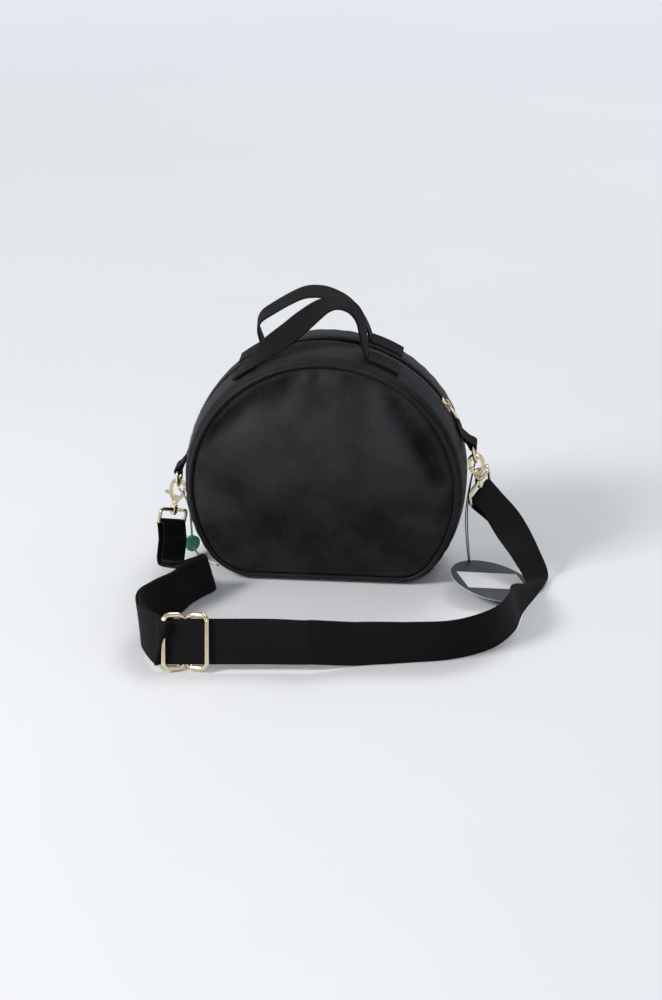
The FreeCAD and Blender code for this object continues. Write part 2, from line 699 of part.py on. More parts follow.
# Side tabs, D-rings and hooks
eye_radius = size("panel_radius") + size("eye_reach")
tab_hole = size("ring_wire_radius") + size("ring_clearance")
arm = size("claw_half_width") - size("claw_hole_radius")
skin_gap = size("handle_lift")
bow_share = 0.97
shank_shares = (0.72, 0.55)
pivot_shares = (0.35, 0.67)
small_collar_share = 0.85
knob_drop_share = 0.2
tip_shares = (0.25, 0.3)
heel_share = 0.1
back_shares = (0.7, 0.35)
arm_share = 0.6
thumb_share = 0.35
strap_ends = {}
ring_frames = {}


def round_point(radius, angle):
    turn = math.radians(angle)
    return Vector(radius * math.sin(turn), radius * math.cos(turn), 0)


for way, name, seam in ((-1, "left", left_seam), (1, "right", right_seam)):
    eye_place = seam + way * size("eye_angle")
    eye = round_point(eye_radius, eye_place)
    low = crown_top + skin_gap
    high = low + size("tab_thickness")
    first = seam - way * size("tab_sewn_angle")
    middle = (first + seam) / 2
    body = add_body(name + "_tab")
    sketch = add_sketch(body, "XZ_Plane", name + "_tab_sewn")
    sketch.addGeometry(Part.Arc(*[round_point(high, angle) for angle in (first, middle, seam)]))
    sketch.addGeometry(Part.LineSegment(round_point(high, seam), round_point(low, seam)))
    sketch.addGeometry(Part.Arc(*[round_point(low, angle) for angle in (seam, middle, first)]))
    sketch.addGeometry(Part.LineSegment(round_point(low, first), round_point(high, first)))
    pad(body, sketch, "sizes.tab_width", name + "_tab_strip")
    root = round_point(high + size("seam_gap"), seam - way * math.degrees(size("tab_thickness") / high))
    run = (eye - root).normalize()
    across = Vector(-run.y, run.x, 0) * size("tab_thickness")
    sketch = add_sketch(body, "XZ_Plane", name + "_tab_plies")
    outline(sketch, [root + across, eye + across, eye - across, root - across])
    pad(body, sketch, "sizes.tab_width", name + "_tab_plate")
    sketch = add_sketch(body, "XZ_Plane", name + "_tab_fold")
    circle(sketch, eye, "sizes.ring_wire_radius + sizes.ring_clearance + sizes.tab_thickness")
    pad(body, sketch, "sizes.tab_width", name + "_tab_round")
    sketch = add_sketch(body, "XZ_Plane", name + "_tab_hole")
    circle(sketch, eye, "sizes.ring_wire_radius + sizes.ring_clearance")
    pocket(body, sketch, "2 * sizes.tab_width", name + "_tab_bore")
    body.Placement = Placement(centre, Rotation())
    keep(body, name + "_tab")

    bar_place = centre + Vector(eye.x, 0, eye.y)
    half = size("ring_half_width")
    drop = size("ring_drop")
    swing = Rotation(Y_AXIS, size(name + "_ring_angle"))
    side_on = Placement(bar_place, swing.multiply(Rotation(Y_AXIS, Z_AXIS, X_AXIS, "XYZ")))
    ring_frames[name] = side_on
    bow = half * bow_share
    ring = wire_ring(
        name + "_d_ring_wire", [(-half, 0), (half, 0), (half, -drop), (-half, -drop)],
        [size("ring_corner"), size("ring_corner"), bow, bow], "sizes.ring_wire_radius", side_on)
    keep(ring, name + "_d_ring")

    # Hook frame: origin at the swivel, Z up the hook, claw in its X-Z plane
    lean = Rotation(Y_AXIS, size(name + "_hook_angle"))
    lean = lean.multiply(Rotation(X_AXIS, size(name + "_pitch_angle")))
    inside = size("ring_wire_radius") + size("hook_play") + arm / 2 - drop
    claw_top = side_on.multVec(Vector(0, inside, 0))
    swivel = claw_top - lean.multVec(Z_AXIS) * size("hook_reach")
    facing = Rotation(Z_AXIS, 0 if way < 0 else 180)
    hook_frame = Placement(swivel, lean.multiply(facing))
    wide = size("claw_half_width")
    top_pole = size("hook_reach") + arm / 2 - wide
    low_pole = top_pole - size("claw_straight")
    heel = low_pole - wide
    collar = size("boss_half_height") + size("swivel_gap")
    neck = collar + size("collar_height")
    body = add_body(name + "_hook_body")

    def slot_outline(sketch, radius):
        top_right, top_left = Vector(radius, top_pole, 0), Vector(-radius, top_pole, 0)
        low_right, low_left = Vector(radius, low_pole, 0), Vector(-radius, low_pole, 0)
        sketch.addGeometry(Part.Arc(top_right, Vector(0, top_pole + radius, 0), top_left))
        sketch.addGeometry(Part.LineSegment(top_left, low_left))
        sketch.addGeometry(Part.Arc(low_left, Vector(0, low_pole - radius, 0), low_right))
        sketch.addGeometry(Part.LineSegment(low_right, top_right))

    sketch = add_sketch(body, "XZ_Plane", name + "_claw_outline")
    slot_outline(sketch, wide)
    pad(body, sketch, "sizes.hook_thickness", name + "_claw")
    sketch = add_sketch(body, "XZ_Plane", name + "_shank_outline")
    narrow = size("stem_radius")
    shank_half = shank_shares[0] * wide
    shank_top = low_pole - shank_shares[1] * wide
    outline(sketch, [(-narrow, neck), (-shank_half, shank_top), (shank_half, shank_top), (narrow, neck)])
    pad(body, sketch, "sizes.hook_thickness", name + "_shank")
    sketch = add_sketch(body, "XZ_Plane", name + "_claw_hole")
    slot_outline(sketch, size("claw_hole_radius"))
    pocket(body, sketch, "2 * sizes.hook_thickness", name + "_claw_bore")
    tip = top_pole + size("gate_gap")
    mouth_low = low_pole - size("gate_gap")
    sketch = add_sketch(body, "XZ_Plane", name + "_mouth_outline")
    outline(sketch, [(arm / 2, mouth_low), (2 * wide, mouth_low), (2 * wide, tip), (arm / 2, tip)])
    pocket(body, sketch, "2 * sizes.hook_thickness", name + "_mouth")
    sketch = add_sketch(body, "XZ_Plane", name + "_slot_side")
    slot_low = heel + size("stem_clearance")
    slot_top = low_pole + size("gate_gap")
    slot_half = 2 * wide
    outline(sketch, [
        (-slot_half, slot_low), (slot_half, slot_low), (slot_half, slot_top), (-slot_half, slot_top),
    ])
    pocket(body, sketch, "sizes.gate_slot", name + "_slot")
    pivot = (pivot_shares[0] * wide, low_pole - pivot_shares[1] * wide)
    sketch = add_sketch(body, "XZ_Plane", name + "_pin_place")
    circle(sketch, pivot, "sizes.gate_pin_radius + sizes.pin_fit")
    pocket(body, sketch, "2 * sizes.hook_thickness", name + "_pin_bore")
    sketch = add_sketch(body, "XZ_Plane", name + "_stem_half")
    stem = size("stem_radius")
    rim = size("collar_radius")
    head = size("head_radius")
    foot = -collar - size("head_height")
    step = size("collar_height")
    small = rim * small_collar_share
    outline(sketch, [
        (0, heel), (stem, heel), (stem, neck + 2 * step), (small, neck + 2 * step),
        (small, neck + step), (stem, neck + step), (stem, neck),
        (rim, neck), (rim, collar), (stem, collar), (stem, -collar),
        (head, -collar), (head, foot), (0, foot),
    ])
    revolve(body, sketch, name + "_stem")
    body.Placement = hook_frame
    keep(body, name + "_hook_body")

    # Gate lever with its thumb knob, and its pin
    lever = size("gate_width")
    outer = wide - size("stem_clearance")
    knob = (-wide - size("knob_radius"), low_pole - knob_drop_share * wide)
    body = add_body(name + "_hook_gate")
    sketch = add_sketch(body, "XZ_Plane", name + "_gate_outline")
    outline(sketch, [
        (outer - lever * tip_shares[0], top_pole), (outer, top_pole - lever * tip_shares[1]),
        (outer, low_pole - heel_share * wide),
        (pivot[0] + lever * back_shares[0], pivot[1] - lever * back_shares[1]),
        (pivot[0], pivot[1] - lever * arm_share), (knob[0], knob[1] - lever * arm_share),
        (knob[0], knob[1] + lever * thumb_share), (pivot[0], pivot[1] + lever * arm_share),
        (outer - lever, low_pole), (outer - lever, top_pole),
    ])
    pad(body, sketch, "sizes.gate_thickness", name + "_lever")
    sketch = add_sketch(body, "XZ_Plane", name + "_knob_outline")
    circle(sketch, knob, "sizes.knob_radius")
    pad(body, sketch, "sizes.hook_thickness", name + "_knob")
    sketch = add_sketch(body, "XZ_Plane", name + "_gate_eye")
    circle(sketch, pivot, "sizes.gate_pin_radius + sizes.pin_clearance")
    pocket(body, sketch, "2 * sizes.hook_thickness", name + "_gate_bore")
    body.Placement = hook_frame
    keep(body, name + "_hook_gate")
    pin = doc.addObject("Part::Cylinder", name + "_pin_rod")
    pin.setExpression("Radius", "sizes.gate_pin_radius")
    pin.setExpression("Height", "sizes.hook_thickness")
    pin_start = Vector(pivot[0], size("hook_thickness") / 2, pivot[1])
    pin.Placement = hook_frame.multiply(Placement(pin_start, Rotation(X_AXIS, 90)))
    keep(pin, name + "_gate_pin")

    # Strap ring with the swivel boss
    loop_frame = Placement(swivel, lean.multiply(Rotation(Z_AXIS, size(name + "_loop_angle"))))
    half = size("loop_half_width")
    fall = size("loop_height")
    bend = size("loop_corner")
    flat_on = loop_frame.multiply(Placement(Vector(), Rotation(X_AXIS, 90)))
    wire = wire_ring(
        name + "_strap_ring_wire", [(-half, 0), (half, 0), (half, -fall), (-half, -fall)],
        [bend] * 4, "sizes.loop_wire_radius", flat_on)
    boss = doc.addObject("Part::Cylinder", name + "_boss")
    boss.setExpression("Radius", "sizes.boss_radius")
    boss.setExpression("Height", "2 * sizes.boss_half_height")
    boss.Placement = loop_frame.multiply(Placement(Vector(0, 0, -size("boss_half_height")), Rotation()))
    bore = doc.addObject("Part::Cylinder", name + "_boss_bore")
    bore.setExpression("Radius", "sizes.stem_radius + sizes.stem_clearance")
    bore.setExpression("Height", "4 * sizes.boss_half_height")
    bore.Placement = loop_frame.multiply(Placement(Vector(0, 0, -2 * size("boss_half_height")), Rotation()))
    joined = combine("Part::Fuse", name + "_ring_boss", wire, boss)
    keep(combine("Part::Cut", name + "_ring_bored", joined, bore), name + "_strap_ring")

    # Strap folded round the ring's lower bar
    bar_middle = loop_frame.multVec(Vector(0, 0, -fall))
    bar_way = loop_frame.Rotation.multVec(X_AXIS)
    strap_ends[name] = (bar_middle, bar_way)
    print("joint", name, "d_ring", bar_place, "hook bar", bar_middle, bar_way)
    ring_way = Y_AXIS.cross(claw_top - bar_place)
    sway_way = bar_way.cross(claw_top - bar_middle)
    print("joint", name, "sway ratio", ring_way.dot(sway_way) / sway_way.dot(sway_way))
    gate_place = hook_frame.multVec(Vector(pivot[0], 0, pivot[1]))
    gate_way = hook_frame.Rotation.multVec(Y_AXIS)
    print("joint", name, "swivel", swivel, lean.multVec(Z_AXIS), "gate", gate_place, gate_way)


# Shoulder strap: a flat ribbon from the right ring, over the table, to the left ring
strap = size("strap_width")
thick = size("strap_thickness")
leg = size("strap_eye_leg")
bore = size("loop_wire_radius") + size("strap_clearance")
ply_middle = bore + thick / 2
leave_shares = {"right": Vector(0.62, -0.2, -0.75), "left": Vector(0, -0.7, -0.71)}
plies = {}
for name, (bar_middle, bar_way) in strap_ends.items():
    leave = leave_shares[name]
    leave = (leave - bar_way * leave.dot(bar_way)).normalize()
    across = bar_way.cross(leave)
    body = add_body(name + "_strap_eye")
    sketch = add_sketch(body, "XY_Plane", name + "_strap_fold")
    wrap = bore + thick
    sketch.addGeometry(Part.LineSegment(Vector(leg, wrap, 0), Vector(0, wrap, 0)))
    sketch.addGeometry(Part.Arc(Vector(0, wrap, 0), Vector(-wrap, 0, 0), Vector(0, -wrap, 0)))
    sketch.addGeometry(Part.LineSegment(Vector(0, -wrap, 0), Vector(leg, -wrap, 0)))
    sketch.addGeometry(Part.LineSegment(Vector(leg, -wrap, 0), Vector(leg, -bore, 0)))
    sketch.addGeometry(Part.LineSegment(Vector(leg, -bore, 0), Vector(0, -bore, 0)))
    sketch.addGeometry(Part.Arc(Vector(0, -bore, 0), Vector(-bore, 0, 0), Vector(0, bore, 0)))
    sketch.addGeometry(Part.LineSegment(Vector(0, bore, 0), Vector(leg, bore, 0)))
    sketch.addGeometry(Part.LineSegment(Vector(leg, bore, 0), Vector(leg, wrap, 0)))
    pad(body, sketch, "sizes.strap_width", name + "_strap_loop")
    body.Placement = Placement(bar_middle, Rotation(leave, across, bar_way, "XYZ"))
    keep(body, name + "_strap_eye")
    end = bar_middle + leave * (leg + size("seam_gap"))
    plies[name] = (end, leave, across, bar_way)

# Route of the strap's lower edge on the table, as shares of its spread and reach, with lean angles
spread = size("strap_spread")
reach_out = size("strap_reach")
landing_shares = (0.962, -0.19)
fold_shares = [(0.5, 0.45)]
landing_up = Vector(-0.51, -0.83, 0.22).normalize()
drop_shares = [
    (0.3, 0.77, Vector(-0.548, -0.806, -0.219)), (0.654, 1, Vector(-0.618, -0.784, 0.078)),
]
bend_shares = [
    (0.905, -0.42, 9), (0.865, -0.60, 3), (0.77, -0.755, 0), (0.61, -0.855, -4), (0.42, -0.90, 0),
    (0.22, -0.945, 10),
]
run_start_shares = (0.05, -0.995)
run_end_shares = (-0.63, -1.048)
run_start = Vector(run_start_shares[0] * spread, run_start_shares[1] * reach_out, 0)
run_end = Vector(run_end_shares[0] * spread, run_end_shares[1] * reach_out, 0)
run_lean = 21
glide_share = 1 - size("glide_place") / (run_end - run_start).Length
ply_share = glide_share + size("ply_lead") / (run_end - run_start).Length
run_shares = [0, 0.08, 0.3, 0.6, ply_share, 0.945, 0.975]
curl_shares = [
    (-0.69, -0.955, 19), (-0.73, -0.85, 16), (-0.73, -0.73, 13), (-0.68, -0.63, 10), (-0.62, -0.545, 7),
    (-0.565, -0.45, 5), (-0.52, -0.375, 3), (-0.497, -0.345, 1), (-0.482, -0.318, 0), (-0.492, -0.292, 0),
    (-0.52, -0.29, 0),
]
glide_lift = size("glide_half_height") + size("glide_wire_radius") - strap / 2
table = []
for across_share, out_share, lean in bend_shares:
    table.append((Vector(across_share * spread, out_share * reach_out, 0), 0, lean))
for share in run_shares:
    table.append((run_start + (run_end - run_start) * share, glide_lift, run_lean))
for number, (across_share, out_share, lean) in enumerate(curl_shares):
    fall = max(0, 1 - number / 3)
    table.append((Vector(across_share * spread, out_share * reach_out, 0), glide_lift * fall, lean))

spacing = thick + size("ply_gap")
stations = []
end, leave, across, bar_way = plies["right"]
stations.append((end - across * ply_middle, -bar_way))
for number, (place, lift, lean) in enumerate(table):
    before = table[max(number - 1, 0)][0]
    after = table[min(number + 1, len(table) - 1)][0]
    way = (after - before).normalize()
    inward = Vector(way.y, -way.x, 0)
    tilt = math.radians(lean)
    up = Z_AXIS * math.cos(tilt) + inward * math.sin(tilt)
    below = max((thick / 2 + spacing) * math.sin(tilt), -thick / 2 * math.sin(tilt))
    rest = lift * math.cos(tilt) + below + size("ground_gap")
    stations.append((place + Z_AXIS * rest + up * (strap / 2), up))
right_start, right_up = stations[0]
landing = Vector(landing_shares[0] * spread, landing_shares[1] * reach_out, 0)
landing.z = abs(landing_up.z) * strap / 2 + thick + size("ground_gap")
bow_way = Vector(0.811, 0.288, 0.509).normalize()
for number, (share, bulge, up) in enumerate(drop_shares, start=1):
    place = right_start + (landing - right_start) * share + bow_way * (size("strap_bow") * bulge)
    stations.insert(number, (place, up.normalize()))
stations.insert(1 + len(drop_shares), (landing, landing_up))
end, leave, across, bar_way = plies["left"]
left_end = end + across * ply_middle
left_up = -bar_way
fold_end, fold_up = stations[-1]
drop_low = abs(left_up.z) * strap / 2 + thick + size("ground_gap")
drop_end = left_end + leave * ((drop_low - left_end.z) / leave.z)
for share, twist in fold_shares:
    up = (fold_up * (1 - twist) + left_up * twist).normalize()
    place = fold_end + (drop_end - fold_end) * share
    place.z = abs(up.z) * strap / 2 + thick + size("ground_gap")
    stations.append((place, up))
stations.append((drop_end, left_up))
stations.append((left_end, left_up))


def smooth(values, number, share):
    """Curve through the values: cubic between one and the next."""
    last = len(values) - 1
    before, here, there, after = [values[min(max(number + step, 0), last)] for step in (-1, 0, 1, 2)]
    square = share * share
    cube = square * share
    return (here * 2 + (there - before) * share + (before * 2 - here * 5 + there * 4 - after) * square
            + (here * 3 - before - there * 3 + after) * cube) * 0.5


places = [station[0] for station in stations]
ups = [station[1] for station in stations]
steps = 3
frames = []
for number in range(len(stations) - 1):
    for step in range(steps):
        frames.append((smooth(places, number, step / steps), smooth(ups, number, step / steps)))
frames.append((places[-1], ups[-1]))
end_ways = {0: plies["right"][1], len(frames) - 1: -plies["left"][1]}
for number, (place, up) in enumerate(frames):
    before = frames[max(number - 1, 0)][0]
    after = frames[min(number + 1, len(frames) - 1)][0]
    up = up.normalize()
    way = end_ways.get(number, after - before)
    way = (way - up * way.dot(up)).normalize()
    face = way.cross(up)
    low = abs(up.z) * strap / 2
    low += max(face.z * thick / 2, -face.z * (thick / 2 + spacing))
    lift = max(0, low + size("ground_gap") - place.z)
    frames[number] = (place + Z_AXIS * lift, up)


def ribbon(first, offsets):
    """Closed strip of the strap's section through the frames from one of them on."""
    rails = []
    chosen = frames[first:]
    for number, (place, up) in enumerate(chosen):
        before = chosen[max(number - 1, 0)][0]
        after = chosen[min(number + 1, len(chosen) - 1)][0]
        up = up.normalize()
        way = end_ways.get(first + number, after - before)
        way = (way - up * way.dot(up)).normalize()
        face = way.cross(up)
        middle = place + face * offsets(number, len(chosen))
        high = up * (strap / 2)
        deep = face * (thick / 2)
        corners = [middle - high - deep, middle + high - deep, middle + high + deep, middle - high + deep]
        rails.append(Part.makePolygon(corners + corners[:1]))
    return Part.makeLoft(rails, True, True)


strip = doc.addObject("Part::Feature", "shoulder_strap")
strip.Shape = ribbon(0, lambda number, count: 0)
keep(strip, "shoulder_strap")

# Second ply of the doubled length, from the slider back to the left ring
run_first = 2 + len(drop_shares) + len(bend_shares)
ply_start = (run_first + run_shares.index(ply_share)) * steps


def second(number, count):
    """Plies lie close, and part again at the ring."""
    tail = max(0, number - (count - 1 - 3 * steps)) / (3 * steps)
    return spacing + (2 * ply_middle - spacing) * tail * tail * (3 - 2 * tail)


strip = doc.addObject("Part::Feature", "strap_second_ply")
strip.Shape = ribbon(ply_start, second)
keep(strip, "strap_second_ply")

# Strap slider: two open loops side by side, their middle bars behind the strap
run_way = (run_start - run_end).normalize()
run_up = ups[run_first + 2].normalize()
run_face = run_up.cross(run_way)
glide_middle = places[run_first + 2] + (run_end - run_start) * (glide_share - run_shares[2])
glide_frame = Placement(glide_middle, Rotation(run_way, run_face, run_up, "XYZ"))
half_length = size("glide_half_length")
loop_run = half_length - size("glide_middle")
offset = size("glide_offset")
loops = []
for way, name in ((-1, "left"), (1, "right")):
    slope = Vector(-way * loop_run, 2 * offset, 0)
    broad = slope.Length
    slope.normalize()
    corner = Vector(way * half_length, -offset, 0)
    plane = Rotation(slope, Z_AXIS, slope.cross(Z_AXIS), "XYZ")
    high = size("glide_half_height")
    loops.append(wire_ring(
        name + "_glide_loop", [(0, -high), (0, high), (broad, high), (broad, -high)],
        [size("glide_corner")] * 4,
        "sizes.glide_wire_radius", glide_frame.multiply(Placement(corner, plane))))
keep(combine("Part::Fuse", "strap_glide", loops[0], loops[1]), "strap_slider")
print("joint strap slider", glide_middle, run_way)


# Swing tag on its string, and the seal on its cord
cord_bend_share = 0.45
tie_share = 0.6


def tube(name, places, radius, bends):
    """Cord of round section: straight runs and tangent arcs."""
    pieces = []
    start = places[0]
    for number in range(1, len(places) - 1):
        here = places[number]
        before = places[number - 1] - here
        after = places[number + 1] - here
        half = before.getAngle(after) / 2
        back = bends[number - 1]
        bend = back * math.tan(half)
        before.normalize()
        after.normalize()
        middle = (before + after).normalize()
        crest = here + middle * (bend / math.sin(half) - bend)
        pieces.append(Part.LineSegment(start, here + before * back))
        pieces.append(Part.Arc(here + before * back, crest, here + after * back))
        start = here + after * back
        print("cord", name, "bend radius %.1f" % bend)
    pieces.append(Part.LineSegment(start, places[-1]))
    path = Part.Wire([piece.toShape() for piece in pieces])
    along = (places[1] - places[0]).normalize()
    section = Part.Wire([Part.makeCircle(radius, places[0], along)])
    item = doc.addObject("Part::Feature", name)
    item.Shape = path.makePipeShell([section], True, False)
    print("cord", name, "length %.0f" % path.Length)
    return keep(item, name)


def bow_low(name, depth, radius):
    """Place just outside a D-ring's wire, at a depth off its middle."""
    bow = size("ring_half_width") * bow_share
    fall = math.sqrt(bow ** 2 - depth ** 2)
    away = bow + size("ring_wire_radius") + size("string_gap") + radius
    pole = bow - size("ring_drop")
    return ring_frames[name].multVec(Vector(depth / bow * away, pole - fall / bow * away, 0))


tie_depth = tie_share * size("ring_half_width")
string_top = bow_low("right", tie_depth, size("string_radius"))
tag_way = Vector(-0.66, 0.75, 0).normalize()
tilt = size("tag_tilt_angle")
hole_reach = size("tag_radius") - size("tag_hole_inset")
tag_level = size("tag_radius") * math.sin(math.radians(tilt)) + size("ground_gap")
tag_middle = Vector(string_top.x + size("tag_out"), string_top.y - size("tag_front"), tag_level)
tag_side = tag_way.cross(Z_AXIS)
lie = Rotation(Y_AXIS, tilt).multiply(Rotation(-tag_side, -tag_way, Z_AXIS, "XYZ"))
tag_frame = Placement(tag_middle, lie)
disc = doc.addObject("Part::Cylinder", "tag_disc")
disc.setExpression("Radius", "sizes.tag_radius")
disc.setExpression("Height", "sizes.tag_thickness")
disc.Placement = tag_frame
hole = doc.addObject("Part::Cylinder", "tag_hole")
hole.setExpression("Radius", "sizes.tag_hole_radius")
hole.setExpression("Height", "6 * sizes.tag_thickness")
hole_start = Vector(0, -hole_reach, -2 * size("tag_thickness"))
hole.Placement = tag_frame.multiply(Placement(hole_start, Rotation()))
keep(combine("Part::Cut", "tag_card", disc, hole), "swing_tag")
sticker = doc.addObject("Part::Box", "sticker")
sticker.setExpression("Length", "sizes.sticker_length")
sticker.setExpression("Width", "sizes.sticker_width")
sticker.setExpression("Height", "sizes.sticker_thickness")
sticker_turn = Placement(Vector(), Rotation(Z_AXIS, size("sticker_turn_angle")))
sticker_corner = Vector(-size("sticker_length") / 2, -size("sticker_width") / 2, size("tag_thickness"))
sticker.Placement = tag_frame.multiply(sticker_turn).multiply(Placement(sticker_corner, Rotation()))
keep(sticker, "tag_sticker")
hole_place = tag_frame.multVec(Vector(0, -hole_reach, size("tag_thickness") / 2))
past_hook = string_top - X_AXIS * size("string_in") - Z_AXIS * size("string_fall")
above_tag = past_hook + (hole_place - past_hook) / 2 - X_AXIS * size("string_bow")
string_run = (above_tag - past_hook).Length
string_bends = [cord_bend_share * string_run] * 2
tube("tag_string", [string_top, past_hook, above_tag, hole_place], size("string_radius"), string_bends)

seal_top = bow_low("left", -tie_depth, size("seal_cord_radius"))
seal_place = Vector(seal_top.x + size("seal_shift"), seal_top.y + size("seal_back"), size("seal_height"))
lie_level = size("seal_cord_radius") + size("ground_gap")
turn_place = Vector(seal_place.x, seal_place.y, lie_level)
tail_place = turn_place + Vector(0.8, -0.6, 0) * size("seal_tail")
aside = Vector(seal_place.x - size("seal_cord_radius"), seal_top.y, seal_top.z - size("seal_shift"))
above = seal_place + Vector(0, 0, 2 * size("seal_radius"))
bend = size("seal_cord_bend")
tube("seal_cord", [seal_top, aside, above, turn_place, tail_place], size("seal_cord_radius"), [bend] * 3)
coin = doc.addObject("Part::Cylinder", "seal_coin")
coin.setExpression("Radius", "sizes.seal_radius")
coin.setExpression("Height", "sizes.seal_thickness")
face = Vector(0.7, -0.7, 0).normalize()
coin.Placement = Placement(seal_place - face * (size("seal_thickness") / 2), Rotation(Z_AXIS, face))
bead = doc.addObject("Part::Cylinder", "seal_bead")
bead.setExpression("Radius", "sizes.seal_cord_radius + sizes.string_gap")
bead.setExpression("Height", "4 * sizes.seal_radius")
bead.Placement = Placement(seal_place - Vector(0, 0, 2 * size("seal_radius")), Rotation())
keep(combine("Part::Cut", "seal_cut", coin, bead), "seal_disc")

# Build, prove and write every piece
doc.recompute()
for item in doc.Objects:
    for word in ("Invalid", "Error"):
        if word in item.State:
            raise RuntimeError("%s: %s" % (item.Label, item.State))
os.makedirs("parts", exist_ok=True)
for item in nodes:
    if item.Shape.isNull() or not item.Shape.isValid():
        raise RuntimeError("no sound shape: " + item.Label)
    item.Shape.exportStep("parts/%s.step" % item.Label)
    box = item.Shape.BoundBox
    print("%-22s solids %3d  x %.1f..%.1f  y %.1f..%.1f  z %.1f..%.1f" % (
        item.Label, len(item.Shape.Solids), box.XMin, box.XMax, box.YMin, box.YMax, box.ZMin, box.ZMax))
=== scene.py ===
"""Looks of the circle bag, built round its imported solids. Lengths in millimetres until a mesh is made."""
import json
import math

import bpy
import numpy as np
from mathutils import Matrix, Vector, noise


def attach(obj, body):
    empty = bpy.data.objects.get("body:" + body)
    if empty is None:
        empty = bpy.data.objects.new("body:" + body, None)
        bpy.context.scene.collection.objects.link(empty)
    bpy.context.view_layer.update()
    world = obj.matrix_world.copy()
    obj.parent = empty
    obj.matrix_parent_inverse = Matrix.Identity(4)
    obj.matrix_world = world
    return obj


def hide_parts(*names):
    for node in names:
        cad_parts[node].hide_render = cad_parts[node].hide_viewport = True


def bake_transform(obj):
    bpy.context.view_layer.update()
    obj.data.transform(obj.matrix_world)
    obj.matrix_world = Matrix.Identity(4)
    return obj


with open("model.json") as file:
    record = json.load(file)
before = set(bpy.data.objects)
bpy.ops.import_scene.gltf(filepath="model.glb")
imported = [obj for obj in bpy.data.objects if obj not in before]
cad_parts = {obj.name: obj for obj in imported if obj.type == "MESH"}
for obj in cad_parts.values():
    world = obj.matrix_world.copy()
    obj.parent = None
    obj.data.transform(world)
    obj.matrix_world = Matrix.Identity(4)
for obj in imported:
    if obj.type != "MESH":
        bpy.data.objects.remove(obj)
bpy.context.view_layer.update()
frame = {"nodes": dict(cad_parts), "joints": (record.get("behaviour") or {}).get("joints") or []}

scene = bpy.context.scene
MM = 0.001
FULL = 2 * math.pi
BAG = "bag"
joints = {joint["name"]: joint for joint in frame["joints"]}

# Sizes shared with the solids
RIM = 118.5
CENTRE = 88.0
HALF_DEPTH = 45.0
CROWN_TOP = 126.5
CROWN_RADIUS = 250.0
SHOULDER = 36.0
EDGE = 42.7
EDGE_POWER = 2.1
BASE_CURL = 2.6
GUSSET_RIM = 118.8
GUSSET_WALL = 2.4
PIPING_HEIGHT = 4.5
PIPING_CORNERS = (32.0, 44.0)
PANEL_INSET = 2.3
LEFT_SEAM = -86.0
RIGHT_SEAM = 72.0
LIP = 7.0
HANDLE_WIDTH = 25.0
HANDLE_PLY = 1.8
STRAP_WIDTH = 38.0
STRAP_PLY = 1.5


# Mesh helpers
def vec(*parts):
    return np.array(parts, float)


def unit(v):
    return v / np.linalg.norm(v)


def step(low, high, x):
    """Smooth rise from 0 at low to 1 at high."""
    t = np.clip((x - low) / (high - low), 0, 1)
    return t * t * (3 - 2 * t)


def lengths(points):
    """Distance along a line of points, from 0 at the first."""
    return np.concatenate([[0], np.cumsum(np.linalg.norm(np.diff(points, axis=0), axis=1))])


def heading(points, i):
    """Way along a line of points at one of them, from its neighbours."""
    return points[min(i + 1, len(points) - 1)] - points[max(i - 1, 0)]


def wobble(points, scale, seed):
    """Smooth random heights in about -1..1 at points in millimetres."""
    shift = Vector((seed * 13.7, seed * 5.3, seed * 8.9))
    return np.array([noise.noise(Vector(p) / scale + shift) for p in points])


def make(name, points, faces, material, uv=None):
    """Mesh object from points in millimetres; uv gives a place on the cloth for each point."""
    mesh = bpy.data.meshes.new(name)
    mesh.from_pydata((np.asarray(points, float) * MM).tolist(), [], faces)
    mesh.update()
    if uv is not None:
        layer = mesh.uv_layers.new(name="weave")
        corner = np.zeros(len(mesh.loops), np.int32)
        mesh.loops.foreach_get("vertex_index", corner)
        layer.data.foreach_set("uv", (np.asarray(uv, float) * MM)[corner].ravel())
    mesh.shade_smooth()
    piece = bpy.data.objects.new(name, mesh)
    scene.collection.objects.link(piece)
    mesh.materials.append(material)
    return piece


def quads(rows, columns, wrap_rows=False, wrap_columns=False, start=0, flip=False):
    """Faces of a grid of points, which may close on itself either way."""
    faces = []
    for i in range(rows if wrap_rows else rows - 1):
        for j in range(columns if wrap_columns else columns - 1):
            a = start + i * columns + j
            b = start + i * columns + (j + 1) % columns
            c = start + ((i + 1) % rows) * columns + (j + 1) % columns
            d = start + ((i + 1) % rows) * columns + j
            faces.append((a, d, c, b) if flip else (a, b, c, d))
    return faces


def swept(name, rings, material, closed=False):
    """Rings of (place, place on the cloth) pairs joined along a path, with caps unless it closes."""
    rows, columns = len(rings), len(rings[0])
    faces = quads(rows, columns, wrap_rows=closed, wrap_columns=True)
    if not closed:
        faces.append(tuple(range(columns - 1, -1, -1)))
        faces.append(tuple((rows - 1) * columns + j for j in range(columns)))
    pairs = [pair for ring in rings for pair in ring]
    return make(name, [place for place, mark in pairs], faces, material, [mark for place, mark in pairs])


def finish_piece(piece, body, slot, *nodes):
    """Put a piece on its body, in place of the nodes it shows; slot is not used."""
    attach(piece, body)
    if nodes:
        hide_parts(*nodes)


# Node materials
def new_material(name, colour, rough, **values):
    """Material and its shader; sockets are named with low lines for spaces."""
    material = bpy.data.materials.new(name)
    material.use_nodes = True
    shader = material.node_tree.nodes["Principled BSDF"]
    values.update(Base_Color=(*colour, 1), Roughness=rough)
    for socket, value in values.items():
        shader.inputs[socket.replace("_", " ")].default_value = value
    return material, shader


